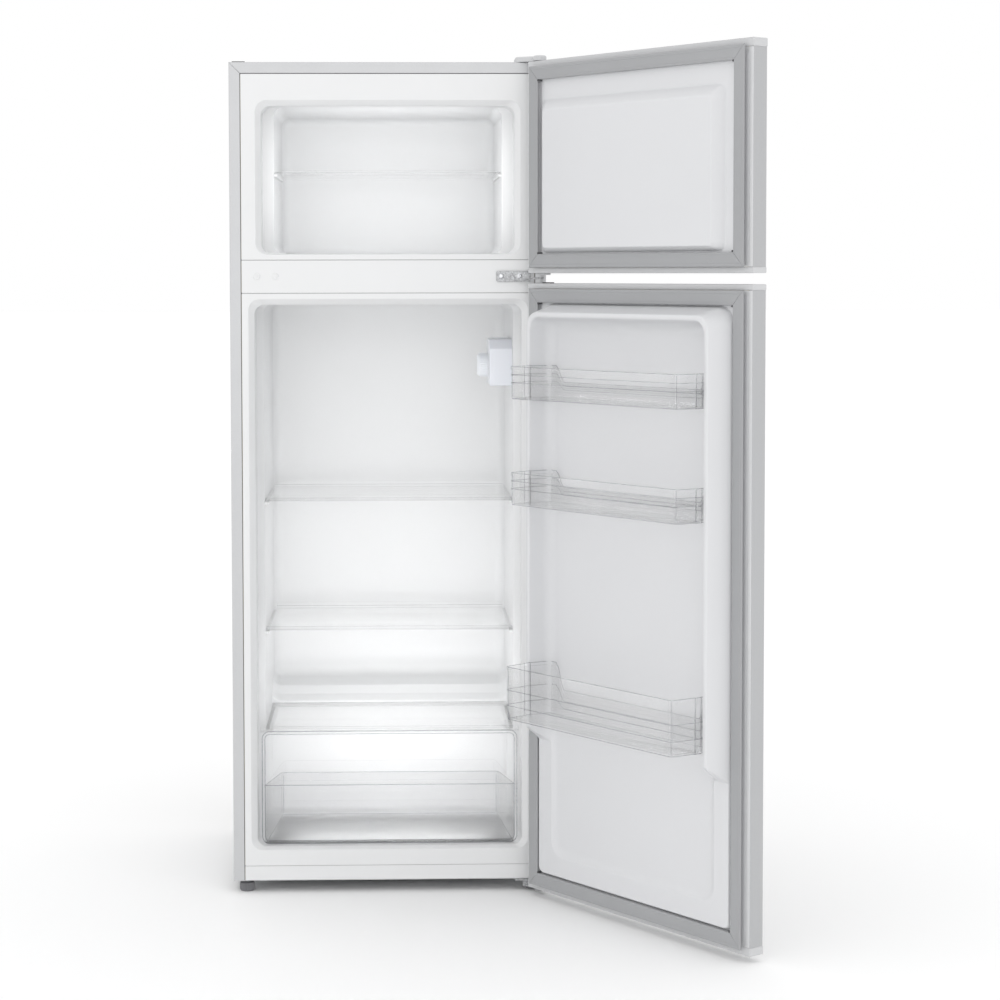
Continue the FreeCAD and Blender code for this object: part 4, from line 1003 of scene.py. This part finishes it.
for name in ("lower", "upper"):
    low, high = cad_low_high(f"shelf_{name}_glass")
    pane(f"shelf_{name}_glass", 6.0, f"shelf_{name}_pane", f"shelf_{name}")
    rim_low, rim_high = cad_low_high(f"shelf_{name}_trim")
    top = high.z + 1.2
    front = rim_low.y
    nose = [(front, rim_low.z + 1.0), (front + 2.0, rim_low.z), (front + 14.0, rim_low.z),
            (front + 14.0, low.z - 0.1), (front + 1.9, low.z - 0.1), (front + 1.9, high.z + 0.1),
            (front + 14.0, high.z + 0.1), (front + 13.0, top), (front + 1.6, top), (front, top - 1.6)]
    rear = rim_high.y
    stop = [(rear - 12.0, rim_low.z), (rear, rim_low.z), (rear, rim_high.z), (rear - 1.6, rim_high.z),
            (rear - 1.8, high.z + 0.1), (rear - 12.0, high.z + 0.1), (rear - 12.0, high.z + 0.06),
            (rear - 2.0, high.z + 0.06), (rear - 2.0, low.z - 0.06), (rear - 12.0, low.z - 0.06)]
    form = rail(nose, rim_low.x, rim_high.x).join(rail(stop, rim_low.x + 6.0, rim_high.x - 6.0))
    piece(f"shelf_{name}_rails", form, "clear_plastic", f"shelf_{name}", [f"shelf_{name}_trim"])

pane("crisper_cover_glass", 4.0, "cover_pane", "crisper_cover")

low, high = cad_low_high("freezer_shelf")
freezer_plate = plate_form(low.x, high.x, low.y, high.y, high.z - 13.0, high.z - 10.0, 9.0, 0.5)
front_lip = [(low.y, low.z), (low.y + 2.6, low.z), (low.y + 3.0, high.z - 7.5), (low.y, high.z - 7.5)]
rear_lip = [(high.y - 3.0, low.z + 1.0), (high.y, low.z + 1.0), (high.y, high.z), (high.y - 3.0, high.z)]
united("freezer_shelf_plate", [freezer_plate, rail(front_lip, low.x + 8.0, high.x - 8.0),
                               rail(rear_lip, low.x + 18.0, high.x - 18.0)],
       "clear_plastic", "freezer_shelf_body", ["freezer_shelf"])

# ---- lamp and temperature control ----
box_low, box_high = cad_low_high("control_box")
lens_low, lens_high = cad_low_high("lamp_lens")


def side_shell(outline, x_face, x_wall, roll=2.4, wall=1.5):
    """A hollow cover that opens towards the side wall; outline is (y, z), seen from inside the room."""
    return layered(rounded_line(outline, 3.0, 4, True),
                   [(roll, x_face), (roll * 0.3, x_face + roll * 0.3), (0.0, x_face + roll), (0.0, x_wall),
                    (wall, x_wall), (wall, x_face + wall + roll), (wall + roll, x_face + wall)], "x")


slope = 16.0
lens_outline = [(lens_low.y, lens_low.z), (lens_high.y, lens_low.z), (lens_high.y, lens_high.z),
                (lens_low.y + 18.0, lens_high.z), (lens_low.y, lens_high.z - slope)]
lens_form = side_shell(lens_outline, lens_low.x, lens_high.x)
for level in range(5):
    z = lens_low.z + 18.0 + 9.0 * level
    louvre = rounded_line(rect(lens_low.x + 7.0, lens_high.x - 9.0, z, z + 4.0), 1.0, 3, True)
    lens_form.join(prism(louvre, lens_low.y + 1.5, lens_low.y + 2.7, "y"))
piece("lamp_cover", lens_form, "lens", "cabinet", ["lamp_lens"])

housing = side_shell(rect(box_low.y, box_high.y, box_low.z, box_high.z), box_low.x, box_high.x)
knob_low, knob_high = cad_low_high("control_knob")
knob_y, knob_z = (knob_low.y + knob_high.y) / 2, (knob_low.z + knob_high.z) / 2
knob_radius = (knob_high.z - knob_low.z) / 2
mark_radius = 25.4
housing.join(turned([(knob_radius + 2.2, 1.0), (knob_radius + 2.0, -0.6), (knob_radius + 1.2, -0.6),
                     (knob_radius + 0.8, 1.0)], (box_low.x, knob_y, knob_z), "x", 64))
for step in range(7):
    angle = math.radians(40.0 * (step - 3))
    cy, cz = knob_y - math.sin(angle) * mark_radius, knob_z + math.cos(angle) * mark_radius
    housing.join(turned([(0.9, 0.5), (0.9, -0.3), (0.5, -0.5)], (box_low.x, cy, cz), "x", 12))
for vent in range(5):
    y = box_low.y + 14.0 + 11.0 * vent
    housing.join(block(box_low.x + 12.0, box_high.x - 6.0, y, y + 4.0, box_high.z - 0.2, box_high.z + 0.6))
piece("control_housing", housing, "control_white", "cabinet", ["control_box"])


def scalloped(profile, centre, axis, teeth, depth, per_tooth=6):
    """A lathe form with a grooved rim; profile is (radius, height, share of the groove)."""
    def reach(radius, angle, share):
        return radius - depth * share * (0.5 - 0.5 * math.cos(teeth * angle)) ** 2

    return turned(profile, centre, axis, teeth * per_tooth, reach)


knob_face = knob_low.x + 2.0
knob_form = scalloped([(knob_radius, box_low.x - 0.6 - knob_face, 1.0), (knob_radius, 3.0, 1.0),
                       (knob_radius - 0.6, 1.4, 0.8), (knob_radius - 2.0, 0.3, 0.0), (knob_radius - 4.0, 0.0, 0.0),
                       (knob_radius - 5.0, 0.5, 0.0), (8.0, 0.9, 0.0)], (knob_face, knob_y, knob_z), "x", 36, 0.6)
grip = rounded_line(rect(knob_y - 4.0, knob_y + 4.0, knob_z - 18.6, knob_z + 18.6), 3.2, 5, True)
knob_form.join(layered(grip, ((0.0, knob_face + 1.6), (0.2, knob_face - 0.6), (0.7, knob_low.x + 0.4),
                              (1.6, knob_low.x)), "x"))
knob_form.join(block(knob_low.x, knob_low.x + 0.4, knob_y - 0.6, knob_y + 0.6, knob_z + 6.0, knob_z + 16.0))
piece("control_dial", knob_form, "control_white", "knob", ["control_knob"])

# ---- feet ----
crest, root, pitch = 4.0, 3.5, 1.25
for side, name in ((-1, "foot_left"), (1, "foot_right")):
    low, high = cad_low_high(name)
    radius = (high.x - low.x) / 2
    centre = ((low.x + high.x) / 2, (low.y + high.y) / 2, 0.0)
    foot = scalloped([(radius - 2.6, 0.0, 0.0), (radius - 1.6, 0.3, 0.0), (radius - 0.3, 2.4, 0.6),
                      (radius, 3.2, 1.0), (radius, 13.2, 1.0), (radius - 0.5, 14.2, 0.6), (radius - 1.6, 14.8, 0.0),
                      (radius - 4.6, 15.2, 0.0), (radius - 5.4, 16.0, 0.0)], centre, "z", 30, 1.1)
    foot.join(turned([(6.6, 15.0), (6.4, 18.5), (4.6, 19.5)], centre, "z", 24))
    thread = [(crest, 15.0)]
    for turn in range(int((high.z - 17.0) / pitch)):
        z = 16.0 + turn * pitch
        thread += [(crest, z + 0.3), (root, z + 0.62), (crest, z + 0.95)]
    foot.join(turned(thread + [(crest, high.z - 0.6), (3.4, high.z)], centre, "z", 20))
    piece(f"{name}_glide", foot, "foot_grey", f"{'left' if side < 0 else 'right'}_foot", [name])

# ---- hinges ----
pin_x, pin_y, _ = pin_centre = hinge_axis


def screw_head(centre, axis, radius=4.6, rise=2.4, steps=48):
    """A domed screw head with a cross recess, rising along +Z, or towards -Y."""
    slot_half = 0.55

    def reach(size, angle, crossed):
        if not crossed:
            return size
        return size * min(radius * 0.52, max(slot_half / max(abs(math.sin(angle)), 0.01),
                                             slot_half / max(abs(math.cos(angle)), 0.01)))

    way = 1 if axis == "z" else -1
    profile = [(radius, 0.0, 0), (radius, rise * 0.30, 0), (radius * 0.90, rise * 0.66, 0),
               (radius * 0.70, rise * 0.92, 0), (radius * 0.56, rise, 0), (1.0, rise, 1), (0.86, rise * 0.30, 1)]
    return turned([(size, way * height, crossed) for size, height, crossed in profile], centre, axis, steps,
                  reach, 0.5)


def hinge_pin(low, high, radius=3.5):
    return turned([(radius - 0.9, low), (radius - 0.3, low + 0.5), (radius, low + 1.4), (radius, high - 1.4),
                   (radius - 0.3, high - 0.5), (radius - 0.9, high)], pin_centre, "z", 28)


def tongue_form(outline, low, high, roll=0.35):
    return layered(outline, [(roll, low), (0.0, low + roll), (0.0, high - roll), (roll, high)])


def nose_outline(points, radius=9.0, steps=10):
    """An outline that ends in a round nose about the pin; points run from the nose's right to its left."""
    turns = [math.pi * (1 + k / steps) for k in range(steps + 1)]
    return [(pin_x + radius * math.cos(turn), pin_y + radius * math.sin(turn)) for turn in turns] + points


low, high = cad_low_high("hinge_middle")
plate_low, plate_high = high.z - 21.5, high.z - 3.0
wall = rounded_line(rect(low.x, low.x + 59.0, plate_low, plate_high), [3.0, 1.0, 3.0, 3.0], 4, True)
middle = layered(wall, ((0.3, 0.0), (0.0, -0.3), (0.0, -2.6), (0.4, -3.0)), "y")
arm_bottom = plate_low + 4.5
middle.join(tongue_form(nose_outline([(pin_x + 9.0, -18.0), (pin_x + 2.0, -13.0), (pin_x - 9.0, -13.0)]),
                        arm_bottom, arm_bottom + bracket_thick))
bend = [(low.x + 36.0, plate_low, -5.0, -2.6), (low.x + 46.0, plate_low, -9.0, -2.6),
        (low.x + 53.0, plate_low + 0.4, -16.0, -2.6), (low.x + 58.0, plate_low + 1.8, -23.0, -3.0),
        (low.x + 62.5, plate_low + 3.7, -28.0, -6.0), (low.x + 66.5, arm_bottom, -31.0, -10.0),
        (low.x + 72.0, arm_bottom, -33.0, -12.0)]
middle.join(loft([[(x, y, level) for y, level in rect(front, back, z, z + bracket_thick)]
                  for x, z, front, back in bend]))
web = rect(low.x + 30.0, low.x + 58.5, plate_low + 1.2, plate_high - 1.2)
middle.join(layered(rounded_line(web, 2.0, 3, True), ((0.0, -2.0), (0.4, -3.7), (1.4, -4.3)), "y"))
middle.join(hinge_pin(low.z, high.z))
for z in (arm_bottom - 1.4, arm_bottom + bracket_thick):
    middle.join(turned([(6.4, z), (6.6, z + 0.3), (6.6, z + 1.1), (6.4, z + 1.4)], pin_centre, "z", 28))
piece("middle_hinge", middle, "zinc", "cabinet", ["hinge_middle"])

low, high = cad_low_high("hinge_bottom")
bottom = tongue_form(rounded_line(rect(low.x, high.x, -2.6, high.y), 3.0, 4, True), high.z - bracket_thick, high.z)
bottom.join(tongue_form(nose_outline([(high.x, -1.0), (low.x + 14.0, -1.0), (pin_x - 9.0, -14.0)]),
                        low.z, low.z + bracket_thick))
bottom.join(block(low.x + 14.0, high.x, -3.0, -0.2, low.z + 0.4, high.z - 0.4))
bottom.join(hinge_pin(low.z, high.z))
piece("bottom_hinge", bottom, "zinc", "cabinet", ["hinge_bottom"], bevel=0.2, bevel_angle=60)

low, high = cad_low_high("hinge_top")
top_form = tongue_form(nose_outline([(high.x, high.y - 3.0), (high.x - 3.0, high.y), (low.x + 3.0, high.y),
                                     (low.x, high.y - 3.0), (low.x, 8.0), (pin_x - 9.0, -6.0)]),
                       high.z - bracket_thick, high.z)
top_form.join(hinge_pin(low.z, high.z - 0.4))
piece("top_hinge", top_form, "zinc", "cabinet", ["hinge_top"])

screws = Form()
for x in bracket_reaches:
    screws.join(screw_head((x, -bracket_thick, bracket_level), "y"))
for x, y in ((234.0, 24.0), (256.0, 24.0), (245.0, 42.0)):
    screws.join(screw_head((x, y, top_z + bracket_thick), "z"))
bottom_face = base_z - bracket_thick
for x, y in ((228.0, 34.0), (248.0, 44.0)):
    screws.join(screw_head((x, y, 0.0), "z").moved(Matrix.Translation((0, 0, bottom_face))
                                                   @ Matrix.Diagonal((1, 1, -1, 1))))
piece("bracket_screws", screws, "zinc_screws", "cabinet", ["hinge_screws"])

low, high = cad_low_high("hinge_cover")
cover_line = nose_outline(rounded_line([(high.x, -6.0), (high.x, high.y), (low.x, high.y), (low.x, 2.0),
                                        (pin_x - 11.5, -14.0)], [0, 5.0, 5.0, 8.0, 0], 4), 11.5, 12)
levels = [(0.0, low.z), (0.0, high.z - 3.0), (0.5, high.z - 1.4), (1.6, high.z - 0.4), (3.2, high.z),
          (3.4, high.z - 1.4), (1.8, high.z - 2.0), (1.5, high.z - 3.4), (1.5, low.z)]
# The loft's walls run from the outside over the top and down the inside; its top is closed above and below.
cover = layered(cover_line, levels)
count = len(cover_line)
cover.faces = cover.faces[:4 * count] + cover.faces[5 * count:-2]
cover.faces += [[8 * count + i, 8 * count + (i + 1) % count, (i + 1) % count, i] for i in range(count)]
cover.faces += [[level * count + i for i in range(count)] for level in (4, 5)]
piece("top_hinge_cover", cover, "cap_grey", "cabinet", ["hinge_cover"])

# ---- small mouldings ----
plugs = Form()
for reach in bracket_reaches:
    x = -reach
    plugs.join(turned([(5.9, 0.0), (5.9, -0.5), (5.4, -1.1), (4.4, -1.4), (3.6, -1.4), (3.3, -1.0), (1.0, -1.0)],
                      (x, 0.0, bracket_level), "y", 32))
    plugs.join(block(x - 2.6, x + 2.6, -1.4, -0.9, bracket_level - 0.5, bracket_level + 0.5))
piece("screw_hole_plugs", plugs, "liner_white", "cabinet", ["hole_plugs"])

low, high = cad_low_high("back_panel")
panel = loft(framed(low.x, high.x, low.z, high.z,
                    ((0.6, low.y), (0.0, low.y + 0.2), (0.0, high.y - 0.2), (0.3, high.y), (26.0, high.y),
                     (29.0, high.y + 1.4), (33.0, high.y + 1.4), (36.0, high.y), (120.0, high.y)),
                    lambda inset: 3.0 + inset * 0.2))
for bead_index in range(6):
    z = low.z + 160.0 + bead_index * 172.0
    panel.join(loft(framed(-130.0, 130.0, z - 5.0, z + 5.0, ((0.0, high.y - 0.2), (0.4, high.y + 0.5),
                                                             (1.6, high.y + 1.2), (3.2, high.y + 1.5)), 5.0)))
piece("back_sheet_panel", panel, "back_sheet", "cabinet", ["back_panel"])

bay = Form()
for span in mirrored(half_width - 15.0, half_width - 0.4):
    bay.join(loft(framed(*span, base_z + 0.4, low.z - 0.4,
                         ((0.3, depth - 0.5), (0.0, depth - 0.2), (0.0, depth + 0.3), (0.4, depth + 0.6)), 1.0)))
piece("bay_side_strips", bay, "galvanised", "cabinet")

# ---- floor, light, camera ----
floor_size = 60.0
mesh = bpy.data.meshes.new("studio_floor")
mesh.from_pydata([(x, y, 0) for x, y in rect(-floor_size, floor_size, -floor_size, floor_size)], [], [[0, 1, 2, 3]])
floor = linked("studio_floor", mesh)
floor_look = Look("studio_floor", (0.97, 0.97, 0.97), 0.75)
floor_look.drift(0.7, 2.0, 0.004)
floor.data.materials.append(LOOKS["studio_floor"])

world = bpy.data.worlds.new("studio")
bpy.context.scene.world = world
world.use_nodes = True
sky = world.node_tree.nodes["Background"].inputs
sky["Color"].default_value = (1.0, 1.0, 1.0, 1.0)
sky["Strength"].default_value = 1.0
bpy.context.scene.view_settings.view_transform = "Standard"


def softbox(name, place, target, size, watts):
    light = bpy.data.lights.new(name, "AREA")
    light.shape = "RECTANGLE"
    light.size, light.size_y = size
    light.energy = watts
    obj = linked(name, light)
    obj.location = place
    obj.rotation_euler = (Vector(target) - Vector(place)).to_track_quat("-Z", "Y").to_euler()
    return obj


softbox("key_left", (-2.6, -3.2, 2.4), (0.0, 0.0, 0.8), (1.6, 2.2), 1.0)
softbox("fill_front", (0.3, -5.5, 1.5), (0.0, 0.0, 0.7), (3.0, 2.4), 16.0)


def compartment_fill(name, share, y, low, high, watts):
    """A soft panel near a compartment's mouth, shining back into it."""
    centre = (low + high) / 2 * MM
    panel = softbox(name, (0.0, y * MM, centre), (0.0, 1.0, centre),
                    (2 * share * fridge_mouth * MM, (high - low) * MM), watts)
    panel.data.spread = math.radians(150.0)
    panel.visible_glossy = False
    panel.visible_transmission = False


for name, share, y, low, high, watts in (
        ("freezer_fill", 0.68, 12.0, freezer_floor + 40.0, freezer_ceiling - 30.0, 0.38),
        ("fridge_fill_top", 0.62, 12.0, 740.0, fridge_ceiling - 40.0, 0.17),
        ("fridge_fill_middle", 0.62, 12.0, 460.0, 720.0, 0.24),
        ("fridge_fill_shelf", 0.7, 12.0, 300.0, 440.0, 0.31),
        ("fridge_fill_low", 0.7, 34.0, fridge_floor + 12.0, 150.0, 0.33)):
    compartment_fill(name, share, y, low, high, watts)
sun = bpy.data.lights.new("sky_panel", "SUN")
sun.energy = 0.28
sun.angle = math.radians(60.0)
linked("sky_panel", sun)

# The lens sits at about the height of the gap between the doors and looks slightly down.
camera_data = bpy.data.cameras.new("camera")
camera = linked("camera", camera_data)
camera_data.sensor_width = 36.0
camera_data.lens = 86.2
camera_data.shift_x = 0.045
camera_data.shift_y = -0.10
camera_data.clip_end = 100.0
camera.location = (0.0045, -4.1345, 1.0815)
yaw, pitch, roll = 1.529, 3.080, -0.10
camera.rotation_euler = (Matrix.Rotation(math.radians(-yaw), 3, "Z")
                         @ Matrix.Rotation(math.radians(90.0 - pitch), 3, "X")
                         @ Matrix.Rotation(math.radians(roll), 3, "Z")).to_euler()
bpy.context.scene.camera = camera
